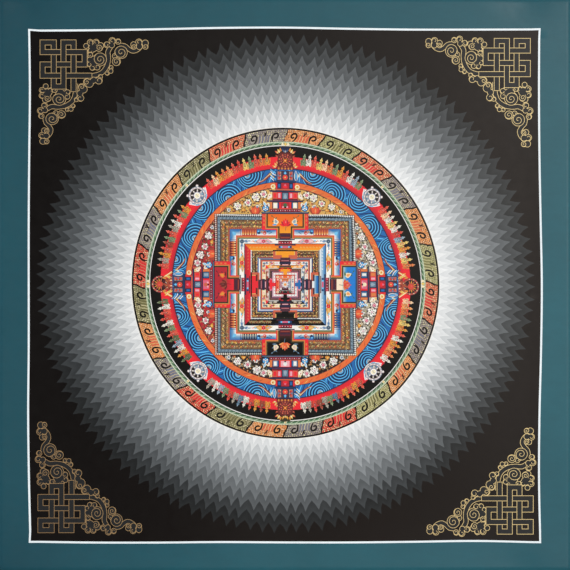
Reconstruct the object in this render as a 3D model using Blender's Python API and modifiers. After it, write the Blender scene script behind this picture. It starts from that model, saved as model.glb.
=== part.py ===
"""Hand-painted cotton canvas of a thangka, square and unmounted, hung by its top edge.

Metres, +Z up, +X to the viewer's right. The painted face looks along -Y.
The origin is the middle of the top edge, halfway through the cloth.
The canvas is one cut length: it has no seam, hem, rod, cord or border cloth.
"""
import math
from collections import namedtuple

import bmesh
import bpy

# The cut of the cloth
WIDTH = 0.610
DROP = 0.610
THICKNESS = 0.0012
CUT_WANDER = 0.0006  # how far the scissors strayed from a straight side
CUT_PITCH = 0.41  # length of one wander along a side

# How the hung cloth is divided: one cell is about 19 mm
CELLS = 32
FLAT_STRIP = DROP / CELLS  # the strip along the top edge that hangs flat

# Every place where the cloth stands off the plane that it hangs in.
# across and down are the middle of the swell from the origin, reach_across and reach_down are
# the distances in which it fades to a third, and rise is its height towards the viewer.
Swell = namedtuple("Swell", "name across down reach_across reach_down rise")
SWELLS = (
    Swell("left_pinch", -0.276, 0.006, 0.022, 0.020, -0.0020),
    Swell("right_pinch", 0.252, 0.004, 0.022, 0.020, -0.0022),
    Swell("low_right_pinch", 0.250, 0.606, 0.022, 0.018, -0.0014),
    Swell("left_belly", -0.165, 0.250, 0.100, 0.170, 0.0016),
    Swell("right_belly", 0.150, 0.370, 0.110, 0.160, 0.0019),
    Swell("middle_trough", 0.010, 0.470, 0.065, 0.160, -0.0011),
    Swell("left_foot_cockle", -0.190, 0.560, 0.070, 0.090, -0.0013),
    Swell("right_side_curl", 0.325, 0.330, 0.050, 0.210, 0.0026),
    Swell("left_side_curl", -0.325, 0.420, 0.045, 0.190, 0.0018),
    Swell("foot_curl", 0.040, 0.640, 0.420, 0.052, 0.0034),
)
PINCHES = ("left_pinch", "right_pinch")  # these two are in the flat strip's ends

PAINT_COLOUR = (0.031, 0.103, 0.144, 1.0)  # the teal of the margin, linear
PAINT_ROUGHNESS = 0.72


def clear_scene():
    for old in list(bpy.data.objects):
        bpy.data.objects.remove(old, do_unlink=True)


def fade_in(value, start, end):
    """0 up to start, 1 from end, and smooth between them."""
    t = min(max((value - start) / (end - start), 0.0), 1.0)
    return t * t * (3.0 - 2.0 * t)


def swell_height(swell, across, down):
    a = (across - swell.across) / swell.reach_across
    d = (down - swell.down) / swell.reach_down
    return swell.rise * math.exp(-(a * a + d * d))


def rise(across, down):
    """Height of the cloth towards the viewer: nothing in the flat strip, but for its two pinched ends."""
    body = sum(swell_height(s, across, down) for s in SWELLS if s.name not in PINCHES)
    ends = sum(swell_height(s, across, down) for s in SWELLS if s.name in PINCHES)
    held = fade_in(abs(across), 0.62 * WIDTH / 2, 0.74 * WIDTH / 2)
    return body * fade_in(down, FLAT_STRIP, 4 * FLAT_STRIP) + ends * held


def half_width(down):
    """Half the cloth's width at this depth, with the stray of the scissors."""
    return WIDTH / 2 - CUT_WANDER + CUT_WANDER * math.sin(math.tau * down / CUT_PITCH + 0.6)


def full_drop(across):
    """Depth of the bottom edge at this place."""
    return DROP - CUT_WANDER + CUT_WANDER * math.sin(math.tau * across / CUT_PITCH + 2.1)


def hang(vertex):
    """Moves a vertex of the flat unit grid to its place in the hung cloth."""
    u, v = vertex.co.x, 0.5 - vertex.co.y
    across = 2 * u * half_width(v * DROP)
    down = v * full_drop(across) if v > FLAT_STRIP / DROP else v * DROP
    vertex.co = (across, -rise(across, down), -down)


def paint_material():
    material = bpy.data.materials.new("painted_cotton")
    material.use_nodes = True
    shader = material.node_tree.nodes["Principled BSDF"]
    shader.inputs["Base Color"].default_value = PAINT_COLOUR
    shader.inputs["Roughness"].default_value = PAINT_ROUGHNESS
    shader.inputs["Metallic"].default_value = 0.0
    return material


def painted_canvas():
    """The whole cloth: a grid bent into the hung form, then given its thickness."""
    cloth = bmesh.new()
    bmesh.ops.create_grid(cloth, x_segments=CELLS, y_segments=CELLS, size=0.5)
    for vertex in cloth.verts:
        hang(vertex)
    bmesh.ops.recalc_face_normals(cloth, faces=cloth.faces)
    mesh = bpy.data.meshes.new("painted_canvas")
    cloth.to_mesh(mesh)
    cloth.free()
    mesh.materials.append(paint_material())
    mesh.shade_smooth()
    canvas = bpy.data.objects.new("painted_canvas", mesh)
    thickness = canvas.modifiers.new("thickness", "SOLIDIFY")
    thickness.thickness = THICKNESS
    thickness.offset = 0.0
    return canvas


def main():
    clear_scene()
    collection = bpy.data.collections.new("thangka")
    bpy.context.scene.collection.children.link(collection)
    collection.objects.link(painted_canvas())


main()
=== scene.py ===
"""Painted cotton canvas of a thangka, hung by its top edge, dressed for the render.

The cloth's form is in metres, +Z up, with the origin at the middle of the top edge and the
painted face towards -Y. The painting is laid out in millimetres on that face: x across from
the middle, z down from the top edge (negative), as the viewer sees it.
"""
import math
import random
from collections import namedtuple
from functools import partial

import bmesh
import bpy
import numpy as np
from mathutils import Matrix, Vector
from mathutils.geometry import delaunay_2d_cdt


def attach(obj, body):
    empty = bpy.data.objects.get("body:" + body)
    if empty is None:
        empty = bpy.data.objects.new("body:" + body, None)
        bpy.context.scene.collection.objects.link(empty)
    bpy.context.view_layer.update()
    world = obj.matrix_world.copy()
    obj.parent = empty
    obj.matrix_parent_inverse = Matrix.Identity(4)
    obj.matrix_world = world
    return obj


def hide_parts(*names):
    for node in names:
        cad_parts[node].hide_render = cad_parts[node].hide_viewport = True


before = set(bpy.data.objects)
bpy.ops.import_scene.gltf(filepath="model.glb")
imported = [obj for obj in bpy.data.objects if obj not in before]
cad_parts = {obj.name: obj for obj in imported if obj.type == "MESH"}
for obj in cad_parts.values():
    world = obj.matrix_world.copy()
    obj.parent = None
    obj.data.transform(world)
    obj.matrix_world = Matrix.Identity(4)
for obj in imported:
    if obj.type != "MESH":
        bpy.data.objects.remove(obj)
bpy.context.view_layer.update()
MM = 0.001
SEED = 11

# ---------------------------------------------------------------- the cloth, as the solid has it
WIDTH, DROP, THICKNESS = 610.0, 610.0, 1.2
CUT_WANDER, CUT_PITCH = 0.6, 410.0
FLAT_STRIP = DROP / 32

Swell = namedtuple("Swell", "name across down reach_across reach_down rise")
SWELLS = (
    Swell("left_pinch", -276, 6, 22, 20, -2.0),
    Swell("right_pinch", 252, 4, 22, 20, -2.2),
    Swell("low_right_pinch", 250, 606, 22, 18, -1.4),
    Swell("left_belly", -165, 250, 100, 170, 1.6),
    Swell("right_belly", 150, 370, 110, 160, 1.9),
    Swell("middle_trough", 10, 470, 65, 160, -1.1),
    Swell("left_foot_cockle", -190, 560, 70, 90, -1.3),
    Swell("right_side_curl", 325, 330, 50, 210, 2.6),
    Swell("left_side_curl", -325, 420, 45, 190, 1.8),
    Swell("foot_curl", 40, 640, 420, 52, 3.4),
)
PINCHES = ("left_pinch", "right_pinch")

GROUND_LIFT = 0.45  # how far the cloth's front stands from the middle of its thickness
PAINT_LIFT = THICKNESS / 2  # how far the paint stands from it
FORM_STEP = 9.0  # spacing of the points that let the paint follow the swells


def fade_in(value, start, end):
    t = np.clip((value - start) / (end - start), 0.0, 1.0)
    return t * t * (3.0 - 2.0 * t)


def swell_sum(swells, across, down):
    total = 0.0
    for s in swells:
        a = (across - s.across) / s.reach_across
        d = (down - s.down) / s.reach_down
        total = total + s.rise * np.exp(-(a * a + d * d))
    return total


def rise(across, down):
    """Height of the cloth towards the viewer."""
    body = swell_sum([s for s in SWELLS if s.name not in PINCHES], across, down)
    ends = swell_sum([s for s in SWELLS if s.name in PINCHES], across, down)
    held = fade_in(abs(across), 0.62 * WIDTH / 2, 0.74 * WIDTH / 2)
    return body * fade_in(down, FLAT_STRIP, 4 * FLAT_STRIP) + ends * held


def half_width(down):
    return WIDTH / 2 - CUT_WANDER + CUT_WANDER * np.sin(math.tau * down / CUT_PITCH + 0.6)


def full_drop(across):
    return DROP - CUT_WANDER + CUT_WANDER * np.sin(math.tau * across / CUT_PITCH + 2.1)


# ---------------------------------------------------------------- colours
def from_srgb(values):
    """Linear values of sRGB ones from 0 to 1."""
    return np.where(values <= 0.04045, values / 12.92, ((values + 0.055) / 1.055) ** 2.4)


def linear(hex_colour):
    """An sRGB hex colour as linear red, green and blue."""
    return from_srgb(np.array([int(hex_colour[i : i + 2], 16) / 255 for i in (1, 3, 5)]))


PIGMENTS = dict(
    # the paler teal is the margin's teal with painted light on it
    teal="#084a59", lit_teal="#1c606e", white="#f4f2ec", chalk="#e9e9e6", lamp_black="#0d0b0a",
    # the bright and the dull gold are gold with painted light and with painted shade
    ink="#0d0b0a", lit_gold="#e2c98c", shaded_gold="#8f7049", knot_ground="#232528",
    # the warm black is the field's black with a painted warm sheen
    cold_black="#080304", sheen_warm_black="#190d08", ruled_white="#eaf4fa", orange="#e07a3c",
    deep_orange="#ee6a00", yellow="#f79c00", straw="#e6c56a", cream="#f1e3bd", khaki="#a9a569",
    olive="#6e6b3c", rust="#cf5f41", mauve_grey="#8d8284", pale_green="#c2d0b4", green="#688b6c",
    deep_green="#3f6b45", scarlet="#ee0d24", crimson="#b80f28", maroon="#5e1a2a", rose="#d9607e",
    pink="#eba9b4", sky="#6cc0ee", azure="#0767b0", deep_blue="#063c74", navy="#1d2547",
    slate="#5f7f98", steel="#93a7b8", ochre="#e29a35", bronze="#9a7b4c", brown="#5b3a26",
    mauve="#b9838f", sage="#7c9268", warm_red="#e2573f", blue_grey="#6f7894", marigold="#e0922f",
    bone="#e3dfd3", moss="#66734c", dust="#a89f90", petal_grey="#c9b9bd", brick="#a5432c",
    ring_orange="#e66b2c", tan="#b59463", loam="#7f5c3a", amber="#cf8540", eggshell="#d9cfc2",
    dusk_rose="#9c4b48", shell_pink="#d8918a", oxblood="#6a1c18", scroll_orange="#e6934f",
    scroll_red="#dc6a45", vivid_red="#d8412f", dull_khaki="#857f52", peach="#f3c79a",
    pale_straw="#d9cfa4", rust_brown="#5c2a16", dark_olive="#3c3a22", soot="#2b2220",
    lake="#3d9fdd", foam="#5cc0f6", whorl_blue="#043062", ember="#e65a2c", warm_cream="#f7e2c6",
    vivid_azure="#007bd2", apricot="#ee9c58", rosewood="#b96c76", lotus_pink="#d68c9a",
    heather="#b87e92", blush="#cda3b0", pale_slate="#bcc2d6", putty="#bdb3a4", shell="#dabeb4",
    salmon="#d07c6c", plum="#4c2f40", honey="#d8a858", sienna="#4c2118", wall_blue="#6e8696",
)
COLOURS = {name: linear(value) for name, value in PIGMENTS.items()}


def mixed(first, second, share):
    """A colour between two pigments, mixed as the eye sees it; share may be an array."""
    a, b = COLOURS[first] ** (1 / 2.2), COLOURS[second] ** (1 / 2.2)
    share = np.asarray(share, float)[..., None]
    return (a + (b - a) * share) ** 2.2


# ---------------------------------------------------------------- drawing
class Painting:
    """Flat shapes in the order in which they are laid on; a later one covers an earlier one."""

    def __init__(self):
        self.outlines = []
        self.paints = []
        self.by_hand = False  # True from the rings on

    def fill(self, outline, paint):
        """paint is a pigment's name, a linear colour, or a function of x and z that gives colours."""
        outline = np.asarray(outline, float)
        if self.by_hand:
            outline = out_of_round(outline)
        x, z = outline[:, 0], outline[:, 1]
        turn = np.dot(x, np.roll(z, -1)) - np.dot(z, np.roll(x, -1))
        if abs(turn) < 1e-4:
            return
        self.outlines.append(outline if turn > 0 else outline[::-1])
        self.paints.append(paint)

    def line(self, points, width, paint):
        self.fill(stroke(points, width), paint)


def stroke(points, width):
    """Outline of a brushed line; width is one value or one for each point."""
    points = np.asarray(points, float)
    step = np.diff(points, axis=0)
    step /= np.linalg.norm(step, axis=1)[:, None] + 1e-12
    side = np.stack([-step[:, 1], step[:, 0]], 1)
    before, after = np.vstack([side[:1], side]), np.vstack([side, side[-1:]])
    mitre = (before + after) / np.maximum(1 + (before * after).sum(1), 0.35)[:, None]
    half = (np.ones(len(points)) * width / 2)[:, None]
    return np.vstack([points + mitre * half, (points - mitre * half)[::-1]])


def arc(x, z, radius, start, end, steps):
    """Points of an arc, its angles in degrees clockwise from straight up."""
    a = np.radians(np.linspace(start, end, steps))
    return np.stack([x + radius * np.sin(a), z + radius * np.cos(a)], 1)


def around(x, z, radius, angle):
    """The point of a circle at that angle."""
    return arc(x, z, radius, angle, angle, 1)[0]


def circle(x, z, radius, steps):
    return arc(x, z, radius, 0, 360 * (1 - 1 / steps), steps)


def petal(length, width, steps=5, tip=0.62):
    """A pointed petal from the origin straight up; tip below 1 brings the widest place up."""
    t = np.linspace(0, 1, steps + 1)
    half = width / 2 * np.sin(math.pi * t**tip) ** 0.9
    right = np.stack([half, t * length], 1)
    return np.vstack([right, (right * (-1, 1))[-2:0:-1]])


def spiral(x, z, outer, inner, start, turns, steps):
    """Points that wind in from the outer radius; turns below 0 wind anticlockwise."""
    t = np.linspace(0, 1, steps)
    a = np.radians(start + 360 * turns * t)
    r = outer + (inner - outer) * t**0.85
    return np.stack([x + r * np.sin(a), z + r * np.cos(a)], 1)


def curve(points, steps=6):
    """A smooth line through a few points, steps to each stretch."""
    p = np.asarray(points, float)
    p = np.vstack([2 * p[0] - p[1], p, 2 * p[-1] - p[-2]])
    t = np.linspace(0, 1, steps, endpoint=False)[:, None]
    out = []
    for a, b, c, d in zip(p, p[1:], p[2:], p[3:]):
        bend, twist = 2 * a - 5 * b + 4 * c - d, 3 * b - a - 3 * c + d
        out.append(0.5 * (2 * b + (c - a) * t + bend * t**2 + twist * t**3))
    return np.vstack(out + [p[-2:-1]])


def moved(points, x, z, turn=0.0):
    """Points turned clockwise by degrees and shifted."""
    a = math.radians(turn)
    u, v = np.asarray(points, float).T
    return np.stack([u * math.cos(a) + v * math.sin(a) + x, v * math.cos(a) - u * math.sin(a) + z], 1)


class Brush:
    """Draws on one place of the painting: place carries points on to the cloth, and side -1 turns
    what is drawn over, left for right."""

    def __init__(self, painting, place=lambda points: points, side=1):
        self.painting, self.place, self.side = painting, place, side

    def halves(self):
        """The same brush for the left and for the right half of the place."""
        return [Brush(self.painting, self.place, side) for side in (-1, 1)]

    def turned_over(self, points):
        return np.asarray(points, float) * (self.side, 1)

    def fill(self, outline, paint):
        self.painting.fill(self.place(outline), paint)

    def area(self, points, paint):
        self.fill(self.turned_over(points), paint)

    def line(self, points, width, paint, smooth=0):
        """smooth is the number of steps to each stretch of a curve, or 0 for straight stretches."""
        points = self.turned_over(points)
        self.painting.line(self.place(curve(points, smooth) if smooth else points), width, paint)

    def dot(self, x, z, radius, steps, paint):
        self.fill(circle(self.side * x, z, radius, steps), paint)

    def leaf(self, x, z, length, width, turn, paint, steps=5, tip=0.62):
        self.fill(moved(petal(length, width, steps, tip), self.side * x, z, self.side * turn), paint)

    def veined(self, x, z, length, width, turn, paint, vein):
        """A leaf with a narrow one in it."""
        self.leaf(x, z, length, width, turn, paint)
        self.leaf(x, z, length * 0.62, width * 0.45, turn, vein, 4)

    def wreath(self, x, z, reach, size, steps, paints, count=6, start=0.0):
        """Dots in a ring, in turns of the paints."""
        for k in range(count):
            spot = around(self.side * x, z, reach, start + 360 * k / count)
            self.fill(circle(*spot, size, steps), paints[k % len(paints)])

    def box(self, x0, z0, x1, z1, paint):
        self.area([(x0, z0), (x1, z0), (x1, z1), (x0, z1)], paint)

    def slab(self, half, start, end, paint):
        """A box across the middle: half its width, and from where to where it goes."""
        self.box(-half, start, half, end, paint)

    def panel(self, x0, z0, x1, z1, paint, inset=0.0, within=None):
        """The same box on both sides, with a smaller one in it."""
        for half in self.halves():
            half.box(x0, z0, x1, z1, paint)
            if within:
                half.box(x0 + inset, z0 + inset, x1 - inset, z1 - inset, within)

    def band(self, inner, outer, paint):
        """One side of a square band."""
        self.area([(-inner, inner), (-outer, outer), (outer, outer), (inner, inner)], paint)


# ---------------------------------------------------------------- the mandala's own frames
CENTRE = (0.4, -303.7)  # its middle on the cloth
OUTLINE = 162.7  # outer radius of the black line round it


def out_of_round(points):
    """The rings as drawn by hand: a little tall and lopsided, the inner ones a little lower."""
    p = np.asarray(points, float) - CENTRE
    r, a = np.hypot(p[:, 0], p[:, 1]), np.arctan2(p[:, 0], p[:, 1])
    low = np.interp(r, (106, 120, 143, 161), (-0.5, -0.3, 0.25, 0.2))
    stray = 0.9 * np.cos(2 * a) - 0.84 * np.sin(2 * a) + 0.33 * np.cos(3 * a) - 0.3 * np.sin(3 * a)
    stray = stray + low * np.cos(a) - 0.15 * np.sin(a)
    in_rings = fade_in(r, 84, 100) * (1 - fade_in(r, 165, 180))
    return CENTRE + p * (1 + stray * in_rings / np.maximum(r, 1.0))[:, None]


def on_ring(points, radius, angle):
    """Points given along a ring (clockwise) and out from it, bent on to the cloth; angle in degrees."""
    p = np.asarray(points, float)
    a = math.radians(angle) + p[:, 0] / radius
    r = radius + p[:, 1]
    return np.stack([CENTRE[0] + r * np.sin(a), CENTRE[1] + r * np.cos(a)], 1)


def in_quarter(points, quarter):
    """Points given along one side of the garden (clockwise) and out from the middle."""
    return moved(points, *CENTRE, turn=90 * quarter)


def full_ring(painting, inner, outer, paint, pieces):
    """A ring in so many pieces, each with nine points to its inner and its outer edge."""
    for i in range(pieces):
        ends = 360 * i / pieces, 360 * (i + 1) / pieces
        edges = [arc(*CENTRE, radius, *ends, 9) for radius in (outer, inner)]
        painting.fill(np.vstack([edges[0], edges[1][::-1]]), paint)


def by_radius(inner_paint, outer_paint, inner, outer):
    """A wash round the mandala's middle."""

    def wash(x, z):
        r = np.hypot(x - CENTRE[0], z - CENTRE[1])
        return mixed(inner_paint, outer_paint, np.clip((r - inner) / (outer - inner), 0, 1))

    return wash


# ---------------------------------------------------------------- margin, ruled line and black field
LINE_LEFT, LINE_RIGHT, LINE_TOP, LINE_FOOT = -269.5, 268.4, -35.5, -575.5
LINE_WIDTH = 2.05
# How far the hand-ruled line strays at nine even stations from corner to corner of each side:
# across for the left and right lines, down for the top and bottom ones.
STRAY_LEFT = (0.3, 1.0, 0.3, -0.2, -0.2, -0.2, -0.8, 0.0, 1.6)
STRAY_RIGHT = (-0.8, -1.1, -0.6, 0.6, 1.8, 1.0, -0.6, -1.1, 0.2)
STRAY_TOP = (1.8, 1.4, 0.3, -1.1, -1.4, -0.2, 0.7, 0.7, 0.5)
STRAY_FOOT = (-0.4, 0.6, 0.6, 0.0, 0.4, 0.4, -0.3, -1.2, 0.3)


def cut_edge():
    """The cloth's outline, a little uneven, with a point about every step."""
    steps = int(WIDTH / FORM_STEP)
    share = np.linspace(0, 1, steps, endpoint=False)
    across = (2 * share - 1) * half_width(0.0)
    down = share * DROP
    top = np.stack([across, 0 * across], 1)
    right = np.stack([half_width(down), -down * full_drop(half_width(DROP)) / DROP], 1)
    across = (1 - 2 * share) * half_width(DROP)
    foot = np.stack([across, -full_drop(across)], 1)
    down = (1 - share) * DROP
    left = np.stack([-half_width(down), -down * full_drop(-half_width(DROP)) / DROP], 1)
    return np.vstack([top, right, foot, left])


def ruled_square(inset):
    """The line's path, drawn in by inset on every side."""
    stations = np.linspace(0, 1, len(STRAY_LEFT))
    fine = np.linspace(0, 1, 49)

    def side(start, end, stray, place, way):
        """Places along one side, and how far out of the middle it lies there."""
        wander = curve(np.stack([stations, stray], 1))
        return start + (end - start) * fine, way * np.interp(fine, wander[:, 0], wander[:, 1]) + place

    x0, x1, z0, z1 = LINE_LEFT + inset, LINE_RIGHT - inset, LINE_TOP - inset, LINE_FOOT + inset
    top = np.stack(side(x0, x1, STRAY_TOP, z0, -1), 1)
    foot = np.stack(side(x0, x1, STRAY_FOOT, z1, -1), 1)
    right = np.stack(side(z0, z1, STRAY_RIGHT, x1, 1)[::-1], 1)
    left = np.stack(side(z0, z1, STRAY_LEFT, x0, 1)[::-1], 1)
    sides = top, right, foot[::-1], left[::-1]
    outline = []
    for i, points in enumerate(sides):
        outline += [(sides[i - 1][-1:] + points[:1]) / 2, points[1:-1]]
    return np.vstack(outline)


def teal_with_painted_light(x, z):
    """The margin's teal with painted light, paler towards the right and the foot, and with painted shade,
    deeper in the corners.
    """
    across, down = x * 2 / WIDTH, -z * 2 / DROP - 1
    share = 0.65 + 0.35 * across - 0.45 * across**2 * abs(down) ** 3
    share += 0.14 * down * (1 - 0.8 * abs(across))
    share += 0.07 * np.sin(z / 47) * np.sin(x / 61 + 1)
    return mixed("teal", "lit_teal", np.clip(share, -0.1, 1.1))


def black_with_painted_sheen(x, z):
    """The field's black with a painted sheen: warmer and paler towards the right and the foot."""
    return mixed("cold_black", "sheen_warm_black", np.clip(0.55 + x * 1.1 / WIDTH - z * 0.3 / DROP, 0, 1))


def margin_and_field(painting):
    painting.fill(cut_edge(), teal_with_painted_light)
    painting.fill(ruled_square(-LINE_WIDTH / 2), "ruled_white")
    painting.fill(ruled_square(LINE_WIDTH / 2), black_with_painted_sheen)


# ---------------------------------------------------------------- zigzag rays
SPIKES = 129
ROWS = 11
FIRST_TIPS = 262.6  # radius of the outermost row's tips
SPIKE_HEIGHT = 10.6
BEND_UP, BEND_ACROSS = 0.44, 0.42  # where the sides of a spike bend: from its foot, and from its tip
GREYS = (41, 60, 82, 103, 124, 148, 172, 196, 217, 231, 240, 245)  # of each row from outside in


def tips_radius(row):
    return FIRST_TIPS - 11.2 * row + 0.13 * row * row


def zigzag_rays(painting, rng):
    """Rows of grey spikes that lie in line, each row paler than the one outside it."""
    pitch = 360 / SPIKES
    lean = np.array([rng.uniform(-0.16, 0.16) for _ in range(SPIKES)])
    rows = []

    def valley(i):
        return pitch * (i + 0.4 * (lean[i % SPIKES] + lean[i - 1]) / 2)

    for row in range(ROWS + 1):
        angles, radii = [], []
        for i in range(SPIKES):
            tip = pitch * (i + 0.5 + lean[i] + rng.uniform(-0.05, 0.05))
            top = tips_radius(row) + rng.uniform(-0.7, 0.7)
            low = tips_radius(row) - SPIKE_HEIGHT + rng.uniform(-0.6, 0.6)
            bend = low + BEND_UP * (top - low)
            before, after = BEND_ACROSS * (tip - valley(i)), BEND_ACROSS * (valley(i + 1) - tip)
            angles += [valley(i), tip - before, tip, tip + after]
            radii += [low, bend, top, bend]
        rows.append((np.array(angles), np.array(radii)))

    def edge(row, x, z):
        """How far the row's outline lies from the middle in this direction."""
        a = np.degrees(np.arctan2(x - CENTRE[0], z - CENTRE[1])) % 360
        angles, radii = rows[row]
        return np.interp(a, np.append(angles, angles[0] + 360), np.append(radii, radii[0]))

    def shade(row):
        grey, next_grey = GREYS[row], GREYS[min(row + 1, ROWS)]

        def wash(x, z):
            r = np.hypot(x - CENTRE[0], z - CENTRE[1])
            outer, inner = edge(row, x, z), edge(min(row + 1, ROWS), x, z)
            depth = np.clip((outer - r) / np.maximum(outer - inner, 0.5), 0, 1)
            tone = grey + (next_grey - grey) * (0.22 - 0.42 * depth)
            middling = 4 * (tone / 255) * (1 - tone / 255)
            # painted light: the mid greys are made paler towards the right
            tone = tone + middling * (10 * (x - CENTRE[0]) / np.maximum(r, 1) + 1.5)
            # painted shade: the two outer rows are made darker towards the foot
            if row < 2:
                tone = tone + 9 * np.minimum(z - CENTRE[1], 0) / np.maximum(r, 1)
            cool = np.stack([middling * share for share in (2.0, 6.5, 10.5)], -1)
            return from_srgb((tone[..., None] + cool + (-1.5, 0.0, 0.5)).clip(0, 255) / 255)

        return wash

    for row in range(ROWS):
        a, r = np.radians(rows[row][0]), rows[row][1]
        outline = np.stack([CENTRE[0] + r * np.sin(a), CENTRE[1] + r * np.cos(a)], 1)
        painting.fill(outline, shade(row))
    painting.fill(circle(*CENTRE, tips_radius(ROWS) + 1.2, 96), "chalk")


# ---------------------------------------------------------------- gold corners
GOLD_LINE = 0.58
KNOT_UNIT = 1.0526  # the knot and its scrolls are laid out in this unit, from the knot's outer corner
RIBBON = 5.7  # the knot's band from gold line to gold line
KNOT_ACROSS = (3.2, 14.4, 24.1, 34.2, 45.3)  # places of the knot's strands
KNOT_DOWN = (2.9, 12.5, 24.9, 36.1, 47.0)
KNOT_SIDE = 47.0
Corner = namedtuple("Corner", "across down inset_across inset_down stretch_across stretch_down")
# Which way each one faces, the knot's outer corner from the ruled line, how far its two arms reach.
CORNERS = (
    Corner(1, 1, 11.0, 11.2, 1.0, 0.93),
    Corner(-1, 1, 9.5, 9.6, 0.94, 1.0),
    Corner(1, -1, 8.7, 9.4, 0.93, 1.035),
    Corner(-1, -1, 6.5, 8.0, 0.97, 0.96),
)


def gold_with_painted_light(x, z):
    """Thin gold with painted light and shade: bright on the lit right side, and dull, in painted shade, at
    the lower left.
    """
    a, d = x * 2.6 / WIDTH, -z * 2.6 / DROP - 1.3
    return mixed("shaded_gold", "lit_gold", np.clip(0.62 + 0.34 * a - 0.11 * d + 0.09 * a * d, 0, 1))


def ribbon(painting, points, place, width):
    """A dark band between two gold lines."""
    painting.line(place(points), width * KNOT_UNIT, gold_with_painted_light)
    painting.line(place(points), width * KNOT_UNIT - 2 * GOLD_LINE, "knot_ground")


def straight_runs(strand, past):
    """The strand's straight runs, longer by past at both ends so that they meet in square corners."""
    for start, end in zip(np.array(strand, float), np.array(strand[1:], float)):
        way = (end - start) / np.linalg.norm(end - start)
        yield np.array([start - past * way, end + past * way])


def knot(painting, place):
    """A squared endless knot: one strand, two loops on each outer side, a bight on each inner one."""
    a, b, c, d, e = KNOT_ACROSS
    f, g, h, i, j = KNOT_DOWN
    strand = [(50, i), (a, i), (a, h), (e, h), (e, g), (a, g), (a, f)]
    strand += [(b, f), (b, j), (c, j), (c, f), (d, f), (d, 50)]
    inner = RIBBON - 2 * GOLD_LINE / KNOT_UNIT
    for width, paint in ((RIBBON, gold_with_painted_light), (inner, "knot_ground")):
        for run in straight_runs(strand, width / 2):
            painting.line(place(run), width * KNOT_UNIT, paint)
    for m, x in enumerate((b, c, d)):
        for n, y in enumerate((g, h, i)):
            way = np.array((0.0, 1.0) if (m + n) % 2 else (1.0, 0.0))
            for past, width, paint in ((0.0, RIBBON, gold_with_painted_light), (0.7, inner, "knot_ground")):
                reach = (RIBBON / 2 + past) * way
                painting.line(place([(x, y) - reach, (x, y) + reach]), width * KNOT_UNIT, paint)


# The cloud scroll of one arm. A cloud is drawn round all its lobes together, and the edge of each
# lobe winds into it. Each lobe is its place along the arm and in from it, its radius, the angle at
# which the edge starts to wind, and how many times round it goes.
STEM = [(44, 36.1), (54, 36.0), (62.5, 33.0), (67.6, 26.2), (69.0, 18.4), (68.6, 12.4), (71.6, 6.6)]
TAIL = [(80.0, 5.4), (85.6, 6.4), (89.4, 9.6), (93.4, 11.6), (97.8, 10.4), (101.4, 7.2)]
FIRST_CLOUD = (
    (46.7, 6.4, 2.8, -60, 0.0), (50.9, 2.9, 3.3, 40, 0.8), (56.7, 2.7, 3.3, 60, 0.8),
    (61.2, 6.1, 3.4, 0, 0.0), (53.6, 8.2, 4.6, 0, 0.0), (51.2, 11.6, 3.2, 200, 0.7),
    (59.6, 8.2, 3.9, 30, 1.5),
)
BIG_SCROLL = (
    (50.6, 15.2, 3.0, 120, 0.9), (50.4, 20.2, 2.9, 0, 0.0), (50.4, 24.8, 2.7, -60, 0.6),
    (53.2, 28.0, 3.1, -20, 0.6), (57.8, 27.6, 3.2, 60, 0.7), (55.4, 21.4, 5.4, 0, 0.0),
    (60.6, 19.9, 6.9, 210, 1.8),
)
CROWN = (
    (67.4, 5.2, 3.2, -150, 0.8), (72.9, 1.2, 3.5, 60, 0.9), (78.6, 2.0, 3.0, 100, 0.9),
    (72.4, 5.6, 3.0, 0, 0.0),
)
SECOND_SCROLL = (
    (75.6, 16.4, 2.9, -30, 0.8), (81.7, 12.8, 6.6, -100, 1.6),
)
UNDER_SCROLL = ((77.0, 22.0, 4.4, 20, 1.4),)
TAIL_CLOUD = (
    (94.2, 5.0, 3.1, -120, 0.0), (99.6, 2.7, 3.6, 60, 0.8), (105.8, 3.6, 3.5, 0, 0.0),
    (100.0, 7.0, 3.3, 0, 0.0), (106.0, 7.0, 3.0, 40, 1.2), (94.4, 7.2, 2.8, 100, 1.4),
)
BANK = (
    (71.6, 28.0, 2.4, 150, 0.9), (71.4, 31.6, 2.5, 0, 0.0), (67.9, 33.6, 2.4, -60, 0.8),
)
LOW_CLOUD = (
    (61.0, 37.2, 2.5, 140, 0.8), (59.4, 41.0, 3.8, 60, 0.7), (54.2, 40.6, 3.4, 0, 0.0),
    (50.0, 43.9, 4.3, 100, 0.0), (47.4, 42.4, 3.6, 160, 1.4),
)


def cloud(painting, place, lobes):
    for less, paint in ((0.0, gold_with_painted_light), (GOLD_LINE, "knot_ground")):
        for along, inward, radius, _, _ in lobes:
            painting.fill(place(circle(along, inward, radius - less / KNOT_UNIT, 20)), paint)
    for along, inward, radius, start, turns in lobes:
        if turns:
            points = int(8 + 9 * turns)
            edge, end = radius - 0.5 * GOLD_LINE / KNOT_UNIT, 0.5 if turns > 1 else 0.9
            inside = spiral(along, inward, edge, end, start, turns, points)
            painting.line(place(inside), np.linspace(0.62, 0.5, points), gold_with_painted_light)


def cloud_arm(painting, place):
    ribbon(painting, curve(STEM), place, 5.0)
    for lobes in (LOW_CLOUD, FIRST_CLOUD, BIG_SCROLL, BANK):
        cloud(painting, place, lobes)
    ribbon(painting, curve(TAIL), place, 4.6)
    for lobes in (CROWN, SECOND_SCROLL, UNDER_SCROLL, TAIL_CLOUD):
        cloud(painting, place, lobes)


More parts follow.
